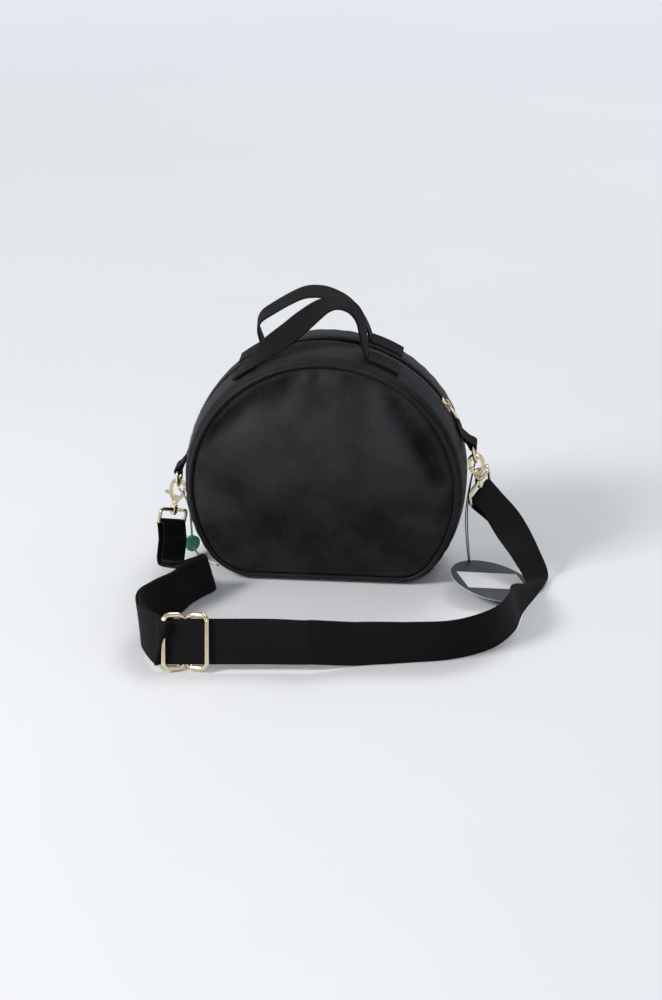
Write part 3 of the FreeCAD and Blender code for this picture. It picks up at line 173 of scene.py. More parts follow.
class Graph:
    """Short names for adding nodes to a material."""

    def __init__(self, material):
        self.nodes = material.node_tree.nodes
        self.links = material.node_tree.links

    def add(self, kind, sockets=None, **settings):
        """New node with its settings and the values of its sockets."""
        node = self.nodes.new(kind)
        for key, value in settings.items():
            setattr(node, key, value)
        for socket, value in (sockets or {}).items():
            node.inputs[socket].default_value = value
        return node

    def link(self, source, target):
        self.links.new(source, target)

    def cloth_place(self, scales):
        """Place on the cloth in metres, scaled apart along and across."""
        place = self.add("ShaderNodeUVMap", uv_map="weave")
        scale = self.add("ShaderNodeMapping", {"Scale": scales})
        self.link(place.outputs["UV"], scale.inputs["Vector"])
        return scale.outputs["Vector"]

    def object_place(self):
        return self.add("ShaderNodeTexCoord").outputs["Object"]

    def seen(self):
        """1 on rays from the camera and on those it sees by reflection or through glass."""
        rays = self.add("ShaderNodeLightPath").outputs
        return self.math("MAXIMUM", self.math("MAXIMUM", rays["Is Camera Ray"], rays["Is Glossy Ray"]),
                         rays["Is Transmission Ray"])

    def mix(self, share, first, second):
        node = self.add("ShaderNodeMix", data_type="RGBA")
        self.link(share, node.inputs["Factor"])
        for socket, colour in zip(node.inputs[6:8], (first, second)):
            if isinstance(colour, tuple):
                socket.default_value = (*colour, 1)
            else:
                self.link(colour, socket)
        return node.outputs[2]

    def noise(self, place, scale, detail=2.0, rough=0.5):
        node = self.add("ShaderNodeTexNoise", {"Scale": scale, "Detail": detail, "Roughness": rough})
        self.link(place, node.inputs["Vector"])
        return node.outputs["Fac"]

    def wave(self, place, scale, direction, distortion):
        node = self.add("ShaderNodeTexWave", {"Scale": scale, "Distortion": distortion, "Detail": 1.0},
                        bands_direction=direction)
        self.link(place, node.inputs["Vector"])
        return node.outputs["Fac"]

    def math(self, kind, first, second):
        node = self.add("ShaderNodeMath", operation=kind)
        for socket, value in zip(node.inputs, (first, second)):
            if isinstance(value, (int, float)):
                socket.default_value = value
            else:
                self.link(value, socket)
        return node.outputs["Value"]

    def weighted(self, *terms):
        """Sum of values, each times its weight."""
        total = self.math("MULTIPLY", *terms[0])
        for value, weight in terms[1:]:
            total = self.math("ADD", total, self.math("MULTIPLY", value, weight))
        return total

    def ramp(self, value, stops):
        node = self.add("ShaderNodeValToRGB")
        while len(node.color_ramp.elements) < len(stops):
            node.color_ramp.elements.new(0.5)
        for element, (place, colour) in zip(node.color_ramp.elements, stops):
            element.position = place
            element.color = (*colour, 1)
        self.link(value, node.inputs["Fac"])
        return node.outputs["Color"]

    def span(self, value, low, high):
        node = self.add("ShaderNodeMapRange", {"To Min": low, "To Max": high})
        self.link(value, node.inputs["Value"])
        return node.outputs["Result"]

    def bump(self, height, strength, distance, shader):
        node = self.add("ShaderNodeBump", {"Strength": strength, "Distance": distance})
        self.link(height, node.inputs["Height"])
        self.link(node.outputs["Normal"], shader.inputs["Normal"])


def cloth(name, dark, light, rough, thread, sheen, gloss=0.05, shade_folds=False):
    """Fine twill: crossed thread streaks over a diagonal rib; with fold heights given, painted shade
    darkens the fold valleys and painted light brightens the crests.
    """
    material, shader = new_material(name, light, rough, Sheen_Weight=sheen, Sheen_Roughness=0.45,
                                    Sheen_Tint=(0.75, 0.8, 0.9, 1), Specular_IOR_Level=gloss)
    graph = Graph(material)
    warp = graph.noise(graph.cloth_place((1500, 70, 1)), 1.0)
    weft = graph.noise(graph.cloth_place((60, 1300, 1)), 1.0)
    cloud = graph.noise(graph.cloth_place((24, 24, 1)), 1.0, 3.0)
    streaks = graph.weighted((warp, 0.5), (weft, 0.5))
    tone = graph.weighted((streaks, 0.42), (cloud, 0.58))
    if shade_folds:
        # Painted shade and light: the fold heights darken the colour in fold valleys and lighten it on fold
        # crests.
        crease = graph.add("ShaderNodeAttribute", attribute_name="crease").outputs["Fac"]
        tone = graph.weighted((tone, 1.0), (crease, 0.045))
    graph.link(graph.ramp(tone, [(0.30, dark), (0.70, light)]), shader.inputs["Base Color"])
    graph.link(graph.span(cloud, rough - 0.07, rough + 0.08), shader.inputs["Roughness"])
    turned = graph.cloth_place((1 / thread, 1 / thread, 1))
    twill = graph.wave(turned, 0.31, "DIAGONAL", 0.6)
    height = graph.weighted((twill, 0.55), (streaks, 0.8))
    graph.bump(height, 0.35, 0.00025, shader)
    return material


def webbing(name, dark, light, rough, rib):
    """Flat webbing: ribs across its length and a woven chain along it."""
    material, shader = new_material(name, light, rough, Sheen_Weight=0.03, Sheen_Roughness=0.5,
                                    Specular_IOR_Level=0.05)
    graph = Graph(material)
    place = graph.cloth_place((1 / rib, 1 / rib, 1))
    ribs = graph.wave(place, 0.31, "Y", 0.25)
    chain = graph.wave(place, 0.21, "X", 0.5)
    fuzz = graph.noise(graph.cloth_place((900, 380, 1)), 1.0, 3.0)
    cloud = graph.noise(graph.cloth_place((30, 18, 1)), 1.0, 2.0)
    weave = graph.weighted((ribs, 0.6), (chain, 0.25))
    tone = graph.weighted((weave, 0.45), (fuzz, 0.35), (cloud, 0.25))
    graph.link(graph.ramp(tone, [(0.25, dark), (0.75, light)]), shader.inputs["Base Color"])
    graph.link(graph.span(fuzz, rough - 0.06, rough + 0.08), shader.inputs["Roughness"])
    height = graph.weighted((weave, 1.0), (fuzz, 0.3))
    graph.bump(height, 0.5, 0.0004, shader)
    return material


def metal(name, colour, shade, rough):
    """Polished plating with faint handling marks and a warmer tone in places."""
    material, shader = new_material(name, colour, rough, Metallic=1.0)
    graph = Graph(material)
    place = graph.object_place()
    cloud = graph.noise(place, 160.0, 3.0)
    marks = graph.noise(place, 1400.0, 2.0, 0.6)
    graph.link(graph.ramp(cloud, [(0.35, shade), (0.65, colour)]), shader.inputs["Base Color"])
    graph.link(graph.span(marks, rough - 0.05, rough + 0.09), shader.inputs["Roughness"])
    graph.bump(cloud, 0.06, 0.0003, shader)
    return material


def matte(name, dark, light, rough, grain, **values):
    """Paper, plastic and thread: a fine grain in colour, gloss and height."""
    material, shader = new_material(name, light, rough, **values)
    graph = Graph(material)
    fine = graph.noise(graph.object_place(), grain, 4.0, 0.6)
    graph.link(graph.ramp(fine, [(0.35, dark), (0.65, light)]), shader.inputs["Base Color"])
    graph.link(graph.span(fine, rough - 0.06, rough + 0.06), shader.inputs["Roughness"])
    graph.bump(fine, 0.3, 0.0001, shader)
    return material


# The shell cloth carries painted shade in its fold valleys and painted light on the fold crests.
shell = cloth("shell_twill", (0.0105, 0.0105, 0.0122), (0.046, 0.0465, 0.0495), 0.46, 0.0006, 0.015,
              shade_folds=True)
gusset_cloth = cloth("gusset_twill", (0.0165, 0.0165, 0.0178), (0.032, 0.032, 0.034), 0.5, 0.0006, 0.015)
piping_cloth = cloth("piping_cloth", (0.0085, 0.0085, 0.0094), (0.0175, 0.0175, 0.019), 0.32, 0.0005, 0.01,
                     gloss=0.16)
lining_cloth = cloth("lining_cloth", (0.012, 0.012, 0.013), (0.022, 0.022, 0.024), 0.7, 0.0004, 0.05)
tape_cloth = cloth("zip_tape_cloth", (0.0028, 0.0028, 0.003), (0.0055, 0.0055, 0.0058), 0.7, 0.0008, 0.03)
band = webbing("black_webbing", (0.0065, 0.0065, 0.0066), (0.0145, 0.0145, 0.0146), 0.7, 0.0011)
gilt = metal("pale_gilt", (0.88, 0.78, 0.55), (0.76, 0.64, 0.40), 0.12)
nylon = matte("zip_nylon", (0.003, 0.003, 0.0033), (0.007, 0.007, 0.0073), 0.42, 900.0)
thread = matte("black_thread", (0.003, 0.003, 0.0033), (0.007, 0.007, 0.0075), 0.6, 2500.0)
board = matte("grey_board", (0.22, 0.21, 0.19), (0.3, 0.29, 0.27), 0.8, 700.0)


# Outline of the bag: an arc, two corners and a straight base, as in the solids
def outline(rim, low, inset, counts, seams=None):
    """Points (x, z off the centre) clockwise from the top, or from the right seam to the left one."""
    arc, corner, base = counts
    right, left = (0.0, 0.0) if seams is None else (math.radians(seams[0]), math.radians(-seams[1]))

    def half(first, bend):
        bend_height = low - bend
        bend_out = math.sqrt((rim - bend) ** 2 - bend_height ** 2)
        lean = math.atan2(bend_out, bend_height)
        angles = np.linspace(first, math.pi - lean, arc, endpoint=False)
        round_part = np.stack([rim * np.sin(angles), rim * np.cos(angles)], 1)
        angles = np.linspace(lean, 0, corner, endpoint=False)
        bend_part = np.stack([bend_out + bend * np.sin(angles), -bend_height - bend * np.cos(angles)], 1)
        return np.concatenate([round_part, bend_part]), bend_out

    near, right_out = half(right, PIPING_CORNERS[0] - inset)
    far, left_out = half(left, PIPING_CORNERS[1] - inset)
    flat_x = np.linspace(right_out, -left_out, base)
    flat = np.stack([flat_x, np.full(base, -low)], 1)
    other = far[::-1] * vec(-1, 1)
    if seams is None:
        other = other[:-1]
    return np.concatenate([near, flat, other])


def crown(depth):
    """Outer radius of the gusset at a depth from the middle."""
    depth = abs(depth)
    crest = CROWN_TOP - CROWN_RADIUS + math.sqrt(CROWN_RADIUS ** 2 - min(depth, SHOULDER) ** 2)
    if depth <= SHOULDER:
        return crest
    share = (depth - SHOULDER) / (EDGE - SHOULDER)
    return crest - (crest - GUSSET_RIM) * share ** EDGE_POWER


def ring_place(radius, angle, depth):
    """Place round the bag's middle at an angle in degrees from the top."""
    turn = math.radians(angle)
    return vec(radius * math.sin(turn), depth, CENTRE + radius * math.cos(turn))


def base_rise(depth):
    """How far the base curls up towards its seams."""
    share = max(0.0, abs(depth) - SHOULDER) / (EDGE - SHOULDER)
    return BASE_CURL * share ** EDGE_POWER


# Panels
PANEL_RINGS = 46
PANEL_COUNTS = (92, 14, 40)
PANEL_SEAT = HALF_DEPTH - 1.4
PANEL_BELLY = 5.9
PANEL_EDGE_RISE = 3.4
PANEL_WALL = 2.2
PUCKERS = 46
PUCKER_HEIGHT = 0.28


def disc(name, side, count, near, deep, near_pole, deep_pole, material):
    """Thin closed disc: two faces, each in rings of count points round its pole, and a rim."""
    rings = len(near) // count
    points = np.concatenate([near, [near_pole], deep, [deep_pole]])
    total = len(near) + 1
    last = len(near) - count
    front = side < 0
    faces = quads(rings, count, wrap_columns=True, flip=not front)
    faces += quads(rings, count, wrap_columns=True, start=total, flip=front)
    for j in range(count):
        k = (j + 1) % count
        cap = (len(near), j, k)
        under = (total + len(near), total + k, total + j)
        wall = (last + j, total + last + j, total + last + k, last + k)
        faces += [face[::-1] if front else face for face in (cap, under, wall)]
    return make(name, points, faces, material, points[:, [0, 2]])


def ridge(x, z, start, end, width, height):
    """Soft fold along a line on the panel, fading at its ends."""
    ax, az = start
    bx, bz = end
    dx, dz = bx - ax, bz - az
    length = math.hypot(dx, dz)
    along = ((x - ax) * dx + (z - az) * dz) / length
    away = ((x - ax) * dz - (z - az) * dx) / length
    past = np.maximum(0, np.maximum(-along, along - length))
    return height * np.exp(-(away / width) ** 2 - (past / (1.6 * width)) ** 2)


# Folds of the panels: start and end (x, z), half width, height
FRONT_FOLDS = [
    ((66, 172), (92, 128), 8, -4.6), ((90, 132), (102, 106), 7, -3.0), ((90, 168), (112, 122), 6, 1.0),
    ((44, 174), (72, 126), 14, 2.4), ((-54, 178), (-98, 140), 9, -4.6), ((-36, 166), (-80, 122), 17, 1.8),
    ((-25, 201), (-36, 180), 8, -3.0), ((-3, 203), (-8, 190), 5, -2.0), ((26, 202), (39, 176), 8, -3.0),
    ((12, 200), (14, 170), 9, 1.2), ((-48, 190), (-58, 168), 8, 0.8), ((50, 192), (58, 172), 7, 0.9),
    ((-14, 196), (-18, 174), 7, 0.8), ((86, 96), (108, 90), 10, 1.8), ((102, 108), (114, 103), 5, -1.9),
    ((84, 74), (112, 66), 10, -1.6), ((-112, 108), (-86, 92), 10, -1.3), ((-104, 74), (-72, 60), 13, 0.7),
    ((-46, 44), (52, 40), 36, -2.6), ((-20, 146), (24, 150), 32, 2.0), ((-24, 116), (24, 118), 36, 1.2),
]
BACK_FOLDS = [
    ((-66, 170), (-98, 116), 8, -3.2), ((56, 178), (102, 142), 9, -2.8), ((22, 202), (24, 174), 7, -1.9),
    ((-20, 202), (-28, 172), 7, -2.1), ((2, 200), (0, 168), 9, 1.2), ((-88, 92), (-110, 86), 10, 1.7),
    ((84, 80), (112, 68), 9, -1.3), ((-40, 64), (50, 54), 30, -1.3), ((-84, 168), (-108, 120), 7, 1.4),
]


def panel(name, side, folds, seed):
    """Puffed panel with its folds; side is -1 at the front and 1 at the back."""
    edge = outline(RIM - PANEL_INSET, CENTRE - PIPING_HEIGHT - PANEL_INSET, PANEL_INSET, PANEL_COUNTS)
    count = len(edge)
    shares = 1 - (1 - np.linspace(0, 1, PANEL_RINGS + 1)[1:]) ** 1.35
    flat = (shares[:, None, None] * edge[None]).reshape(-1, 2)
    share = np.repeat(shares, count)
    x, z = flat[:, 0], flat[:, 1] + CENTRE
    rise = PANEL_BELLY * (1 - share ** 2) ** 0.9 + PANEL_EDGE_RISE * (1 - share ** 18)
    fade = 1 - step(0.93, 1.0, share)
    lift = sum(ridge(x, z, *fold) for fold in folds) * fade
    rise += lift
    places = np.stack([x, np.full(len(x), side * 40.0), z], 1)
    rise += 0.55 * wobble(places, 42.0, seed) * fade
    around = np.arctan2(x, z - CENTRE)
    pucker = np.sin(around * PUCKERS + 2.2 * wobble(places, 30.0, seed + 1))
    rise += PUCKER_HEIGHT * pucker * step(0.8, 0.95, share) * fade
    top = PANEL_SEAT + rise
    bottom = PANEL_SEAT + 0.82 * rise - PANEL_WALL
    outer = np.stack([x, side * top, z], 1)
    inner = np.stack([x, side * bottom, z], 1)
    pole = vec(0, side * top[:count].mean(), CENTRE)
    pole_in = vec(0, side * bottom[:count].mean(), CENTRE)
    piece = disc(name, side, count, outer, inner, pole, pole_in, shell)
    # Painted shade and light: the fold heights are stored for the cloth colour, darker in valleys and
    # lighter on crests.
    crease = np.concatenate([lift, [0], lift, [0]])
    piece.data.attributes.new("crease", "FLOAT", "POINT").data.foreach_set("value", crease)
    return piece


for name, side, folds, seed in (("front_panel", -1, FRONT_FOLDS, 3), ("back_panel", 1, BACK_FOLDS, 11)):
    piece = panel(name + "_cloth", side, folds, seed)
    finish_piece(piece, BAG, "shell", name)

# Linings behind the panels
LINING_INSET = 5.2
LINING_RINGS = 20
LINING_DEPTH = 42.0
LINING_GAP = 0.5
LINING_PLY = 0.4
for name, side, seed in (("front_lining", -1, 5), ("back_lining", 1, 6)):
    edge = outline(RIM - LINING_INSET, CENTRE - PIPING_HEIGHT - LINING_INSET, LINING_INSET, (60, 6, 30))
    shares = np.linspace(0, 1, LINING_RINGS + 1)[1:]
    flat = (shares[:, None, None] * edge[None]).reshape(-1, 2)
    places = np.stack([flat[:, 0], np.full(len(flat), side * LINING_DEPTH), flat[:, 1] + CENTRE], 1)
    drape = 0.5 * wobble(places, 30.0, seed)
    near = places - vec(0, side, 0) * (LINING_GAP + drape)[:, None]
    pole = vec(0, side * (LINING_DEPTH - LINING_GAP), CENTRE)
    ply = vec(0, side * LINING_PLY, 0)
    piece = disc(name + "_cloth", side, len(edge), near, near - ply, pole, pole - ply, lining_cloth)
    finish_piece(piece, BAG, "lining", name)

# Piping in the two rim seams
PIPE_SIDES = 14
PIPE_RADIUS = 1.5
for name, side, seed in (("front_piping", -1, 21), ("back_piping", 1, 22)):
    path = outline(RIM, CENTRE - PIPING_HEIGHT, 0, (130, 18, 64))
    way = np.roll(path, -1, 0) - np.roll(path, 1, 0)
    way /= np.linalg.norm(way, axis=1)[:, None]
    out = np.stack([-way[:, 1], way[:, 0]], 1)
    out *= np.sign((out * path).sum(1))[:, None]
    run = lengths(path)
    rings = []
    for i in range(len(path)):
        place = vec(path[i, 0], side * HALF_DEPTH, path[i, 1] + CENTRE)
        radius = PIPE_RADIUS + 0.12 * noise.noise(Vector(place) / 9.0 + Vector((seed, 0, 0)))
        radius += 0.07 * math.sin(run[i] / 3.1 * FULL)
        across = vec(out[i, 0], 0, out[i, 1])
        ring = []
        for k in range(PIPE_SIDES):
            turn = FULL * k / PIPE_SIDES
            spread = radius * math.cos(turn)
            if spread < 0:
                spread *= 1.5
            spot = place + across * spread + vec(0, side * radius * math.sin(turn), 0)
            ring.append((spot, (radius * turn, run[i])))
        rings.append(ring)
    piece = swept(name + "_cord", rings, piping_cloth, closed=True)
    finish_piece(piece, BAG, "piping", name)


# Gusset: top bands either side of the zip, and the bottom sleeve with its base
def band_section(near, far, sign):
    """Loop of (depth, drop below the skin) round a padded band with rounded lips."""
    inner = np.linspace(far, near, 9)
    outer = np.linspace(near, far, 19)
    lip = [(near - 0.8, 0.45), (near - 0.8, 1.6)]
    loop = [(d, 0.0) for d in outer] + [(d, GUSSET_WALL) for d in inner] + lip[::-1]
    return [(sign * d, drop) for d, drop in loop]


TOP_STEPS = 150
for name, sign, seed in (("top_band_front", -1, 31), ("top_band_back", 1, 32)):
    loop = band_section(LIP, EDGE, sign)
    rings = []
    for i in range(TOP_STEPS + 1):
        angle = LEFT_SEAM + (RIGHT_SEAM - LEFT_SEAM) * i / TOP_STEPS
        turn = math.radians(angle)
        out = vec(math.sin(turn), 0, math.cos(turn))
        ring = []
        for depth, drop in loop:
            place = ring_place(crown(depth) - drop, angle, depth)
            share = (abs(depth) - LIP) / (EDGE - LIP)
            soft = math.sin(math.pi * min(1, max(0, share)))
            bulge = noise.noise(Vector(place) / 26.0 + Vector((seed, 3, 1)))
            puff = 0.2 * soft ** 0.5 + 0.6 * soft * bulge
            rib = math.sin(turn * 52 + 2.0 * noise.noise(Vector(place) / 22.0))
            puff += 0.22 * rib * step(0.62, 0.9, share) * (1 - step(0.94, 1.0, share))
            lip_wave = 0.16 * math.sin(turn * 71 + seed)
            puff += lip_wave * (1 - step(0.02, 0.3, share)) * step(-0.03, 0.06, share)
            ring.append((place + out * puff * (1 if drop == 0 else 0.6), (CROWN_TOP * turn, depth)))
        rings.append(ring[::-sign])
    piece = swept(name + "_cloth", rings, gusset_cloth)
    finish_piece(piece, BAG, "shell", name)

GUSSET_COUNTS = (64, 18, 60)
SLEEVE_COLUMNS = 31


def sleeve(name, material, drop, wall, limit, seed, amount):
    """Bottom sleeve and base in one loop from the right seam to the left one."""
    depths = np.linspace(-limit, limit, SLEEVE_COLUMNS)
    loop = [(d, drop) for d in depths] + [(d, drop + wall) for d in depths[::-1]]
    rails = []
    for depth, inset in loop:
        rim = crown(depth) - inset
        low = CENTRE - base_rise(depth) - inset
        rails.append(outline(rim, low, inset, GUSSET_COUNTS, (RIGHT_SEAM, LEFT_SEAM)))
    rails = np.array(rails)
    run = lengths(rails[SLEEVE_COLUMNS // 2])
    rings = []
    for i in range(rails.shape[1]):
        ring = []
        for k, (depth, inset) in enumerate(loop):
            x, z = rails[k, i]
            place = vec(x, depth, z + CENTRE)
            free = step(6, 26, z + CENTRE)
            share = abs(depth) / limit
            puff = amount * noise.noise(Vector(place) / 30.0 + Vector((seed, 0, 2))) * (1 - share ** 4)
            rib = math.sin(run[i] / 15.0 * FULL + 2.0 * noise.noise(Vector(place) / 24.0))
            puff += 0.3 * amount * rib * step(0.7, 0.92, share) * (1 - step(0.95, 1.0, share))
            out = unit(vec(x, 0, z)) if free > 0 else vec(0, 0, -1)
            ring.append((place + out * puff * free, (run[i], depth)))
        rings.append(ring)
    return swept(name, rings, material)


base_gusset = sleeve("base_gusset_cloth", gusset_cloth, 0.0, GUSSET_WALL, EDGE, 41, 0.9)
finish_piece(base_gusset, BAG, "shell", "base_gusset")
gusset_lining = sleeve("gusset_lining_cloth", lining_cloth, 5.6, 0.4, 39.4, 43, 0.4)
finish_piece(gusset_lining, BAG, "lining", "gusset_lining")


# Zip tapes
TAPE_TOP = CROWN_TOP - CROWN_RADIUS + math.sqrt(CROWN_RADIUS ** 2 - 16.0 ** 2) - 2.7
TAPE_STEPS = 120
for name, sign in (("zip_tape_front", -1), ("zip_tape_back", 1)):
    depths = [2.7, 3.1, 3.6, 5.5, 8, 11, 13.5, 15.9]
    lifts = [-0.25, 0.0, 0.0, -0.08, 0.0, 0.0, 0.0, 0.0]
    loop = [(d, TAPE_TOP + lift) for d, lift in zip(depths, lifts)]
    loop += [(d, TAPE_TOP - 0.8) for d in depths[::-1]]
    rings = []
    for i in range(TAPE_STEPS + 1):
        angle = LEFT_SEAM + (RIGHT_SEAM - LEFT_SEAM) * i / TAPE_STEPS
        run = CROWN_TOP * math.radians(angle)
        ring = [(ring_place(r, angle, sign * d), (run, d)) for d, r in loop]
        rings.append(ring[::-sign])
    piece = swept(name + "_cloth", rings, tape_cloth)
    finish_piece(piece, BAG, "zip_tape", name)


# Ribbons of webbing
def strip_profile(width, ply):
    """Loop across a webbing: flat faces, a rounded and slightly thinner selvedge."""
    across = [-1, -0.975, -0.93, -0.86, -0.5, 0, 0.5, 0.86, 0.93, 0.975, 1]
    thick = [0.3, 0.72, 0.95, 1, 1, 1, 1, 1, 0.95, 0.72, 0.3]
    top = [(a * width / 2, t * ply / 2) for a, t in zip(across, thick)]
    return top + [(a, -t) for a, t in top[::-1]]


def ribbon(name, places, ups, width, ply):
    """Webbing along places, with its width along ups; its face is way x up."""
    profile = strip_profile(width, ply)
    places = np.array(places, float)
    run = lengths(places)
    rings = []
    for i, place in enumerate(places):
        up = unit(np.array(ups[i], float))
        way = heading(places, i)
        way = unit(way - up * (way @ up))
        face = np.cross(way, up)
        rings.append([(place + up * a + face * t, (a, run[i])) for a, t in profile])
    return swept(name, rings, band)


def smooth_run(points, steps):
    """Smooth curve through rows of numbers, with steps between one row and the next."""
    points = np.array(points, float)
    padded = np.concatenate([[2 * points[0] - points[1]], points, [2 * points[-1] - points[-2]]])
    rows = []
    for i in range(len(points) - 1):
        a, b, c, d = padded[i:i + 4]
        for k in range(steps):
            t = k / steps
            rows.append(0.5 * (2 * b + (c - a) * t + (2 * a - 5 * b + 4 * c - d) * t * t
                               + (3 * b - a - 3 * c + d) * t ** 3))
    rows.append(points[-1])
    return np.array(rows)


# Stitches: short sunken threads laid on a surface
STITCH = 2.5
STITCH_GAP = 0.9
STITCH_RADIUS = 0.26
STITCH_SIDES = 6
STITCH_RINGS = 5


def row_at(run, rows, at):
    """Row of numbers at a distance along a line."""
    return np.array([np.interp(at, run, column) for column in rows.T])


def stitches(name, lines):
    """Rows of thread along polylines of (place, outward) pairs."""
    points, faces = [], []
    for line in lines:
        places = np.array([place for place, out in line])
        outs = np.array([out for place, out in line])
        run = lengths(places)
        start = STITCH_GAP / 2
        while start + STITCH < run[-1]:
            base = len(points)
            for r in range(STITCH_RINGS):
                share = r / (STITCH_RINGS - 1)
                at = start + STITCH * share
                place = row_at(run, places, at)
                out = unit(row_at(run, outs, at))
                ahead = row_at(run, places, min(at + 0.5, run[-1]))
                behind = row_at(run, places, max(at - 0.5, 0))
                side = np.cross(unit(ahead - behind), out)
                swell = math.sin(math.pi * share)
                rise = STITCH_RADIUS * (0.9 * swell - 0.35)
                fat = STITCH_RADIUS * (0.55 + 0.45 * swell)
                for k in range(STITCH_SIDES):
                    turn = FULL * k / STITCH_SIDES
                    height = rise + fat * math.sin(turn)
                    points.append(place + out * height + side * fat * math.cos(turn))
            faces += quads(STITCH_RINGS, STITCH_SIDES, wrap_columns=True, start=base)
            faces.append(tuple(base + k for k in range(STITCH_SIDES - 1, -1, -1)))
            faces.append(tuple(base + (STITCH_RINGS - 1) * STITCH_SIDES + k for k in range(STITCH_SIDES)))
            start += STITCH + STITCH_GAP
    return make(name, points, faces, thread)


def gusset_line(depth, first, last, lift):
    """Row round the gusset at a depth, between two angles from the top."""
    line = []
    for angle in np.linspace(first, last, 181):
        out = ring_place(1, angle, 0) - vec(0, 0, CENTRE)
        line.append((ring_place(crown(depth) + lift, angle, depth), out))
    return line


ZIP_STITCH_DEPTH = 9.6
zip_rows = [gusset_line(sign * ZIP_STITCH_DEPTH, LEFT_SEAM + 1, RIGHT_SEAM - 1, 0.55) for sign in (-1, 1)]
finish_piece(stitches("zip_topstitch", zip_rows), BAG, "shell")

# Handles
PATCH_INNER = 22.8
PATCH_OUTER = {"left": 33.5, "right": 36.7}
PATCH_PEEL = {("front", "left"): 14.0}
PATCH_STEPS = 24
PATCH_GAP = 0.7
PATCH_SEAM = 10.5
HANDLE_ROLL = -5.5
HANDLE_OUT = 36.0
HANDLE_IN = 11.0


def box_stitch(rows, across, normals):
    """Lines of a sewn box with a cross in it, on top of a patch."""
    lift = HANDLE_PLY / 2 + 0.05
    first, last = 2, PATCH_STEPS - 2

    def spot(i, off):
        return rows[i] + across[i] * off + normals[i] * lift, normals[i]

    lines = [[spot(i, off) for i in range(PATCH_STEPS + 1)] for off in (-PATCH_SEAM, PATCH_SEAM)]
    lines += [[spot(i, off) for off in (-PATCH_SEAM, PATCH_SEAM)] for i in (first, last)]
    for way in (1, -1):
        offs = way * np.linspace(-PATCH_SEAM, PATCH_SEAM, last - first + 1)
        lines.append([spot(first + k, off) for k, off in enumerate(offs)])
    return lines


for name, side in (("front", -1), ("back", 1)):
    middle = side * (HANDLE_OUT + HANDLE_IN) / 2
    radius = crown(middle) + PATCH_GAP + HANDLE_PLY / 2
    for way, end in ((-1, "left"), (1, "right")):
        rows, across, normals = [], [], []
        outer = PATCH_OUTER[end]
        peel = PATCH_PEEL.get((name, end), 0.0)
        for i in range(PATCH_STEPS + 1):
            share = i / PATCH_STEPS
            angle = HANDLE_ROLL + way * (outer - (outer - PATCH_INNER) * share)
            normal = ring_place(1, angle, 0) - vec(0, 0, CENTRE)
            roll = math.radians(peel * share ** 1.5)
            lift = normal * math.sin(roll) - vec(0, 1, 0) * (1 - math.cos(roll))
            rows.append(ring_place(radius, angle, middle) + lift * HANDLE_WIDTH / 2)
            across.append(vec(0, math.cos(roll), 0) + normal * math.sin(roll))
            normals.append(normal * math.cos(roll) - vec(0, math.sin(roll), 0))
        label = "%s_handle_%s" % (name, end)
        piece = ribbon(label + "_patch", rows, [-a for a in across], HANDLE_WIDTH, HANDLE_PLY)
        finish_piece(piece, BAG, "webbing", name + "_handle_ends")
        finish_piece(stitches(label + "_stitch", box_stitch(rows, across, normals)), BAG, "webbing")

# Handle routes: x, z and the roll of the webbing in degrees
HANDLE_ROUTES = {
    "front": [(-61.6, 203.0, 14), (-56, 208.4, 25), (-46, 216.6, 34), (-33, 226.6, 38), (-20, 237.8, 37),
              (-7, 248.6, 28), (3, 254.6, 16), (12, 256.4, 9), (20.5, 254.4, 8), (27, 249.2, 8),
              (31, 242.2, 9), (32.6, 235.5, 9), (33.8, 227.5, 8), (35.4, 218.6, 4), (37.0, 209.8, 0)],
    "back": [(-59.4, 200.6, 0), (-61.6, 208, 3), (-63.6, 215.5, 5), (-63.2, 222, 6), (-59, 228.2, 8),
             (-50.2, 234.4, 9), (-35, 243.9, 9), (-22.2, 250, 9), (-11, 251.4, 8), (0, 250, 6),
             (14, 244.2, 2), (25, 235, -3), (32, 224.8, -5), (35.4, 216.6, -3), (37.0, 209.8, 0)],
}
for name, side in (("front", -1), ("back", 1)):
    middle = side * (HANDLE_OUT + HANDLE_IN) / 2
    route = smooth_run(HANDLE_ROUTES[name], 8)
    places = [vec(x, middle, z) for x, z, roll in route]
    ups = []
    for i, (x, z, roll) in enumerate(route):
        way = unit(heading(places, i))
        turn = math.radians(roll)
        ups.append(vec(0, -1, 0) * math.cos(turn) - np.cross(way, vec(0, 1, 0)) * math.sin(turn))
    piece = ribbon(name + "_handle_band", places, ups, HANDLE_WIDTH, HANDLE_PLY)
    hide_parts(name + "_handle_loop")
    hinge = joints[name + "_handle_lean"]
    along = vec(*hinge["axis"])
    along = along if along[0] > 0 else -along
    lift = unit(vec(-along[2], 0, along[0]))
    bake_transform(piece)

# Side tabs folded round the bars of the D-rings
TAB_WIDTH = 20.0
TAB_PLY = 1.6
TAB_SPREAD = 0.85
TAB_GAP = 0.5
TAB_BAR = 1.6
TAB_SLACK = 0.35
TAB_STRIPS = {"left": 2.4, "right": 6.5}


def tab_ply(root, bar, side, bend, shares):
    """Places along one ply of a tab, which parts from its middle towards the bar."""
    offs = [TAB_SPREAD + (bend - TAB_SPREAD) * step(0.35, 1.0, s) for s in shares]
    return [root + (bar - root) * s + side * off for s, off in zip(shares, offs)]


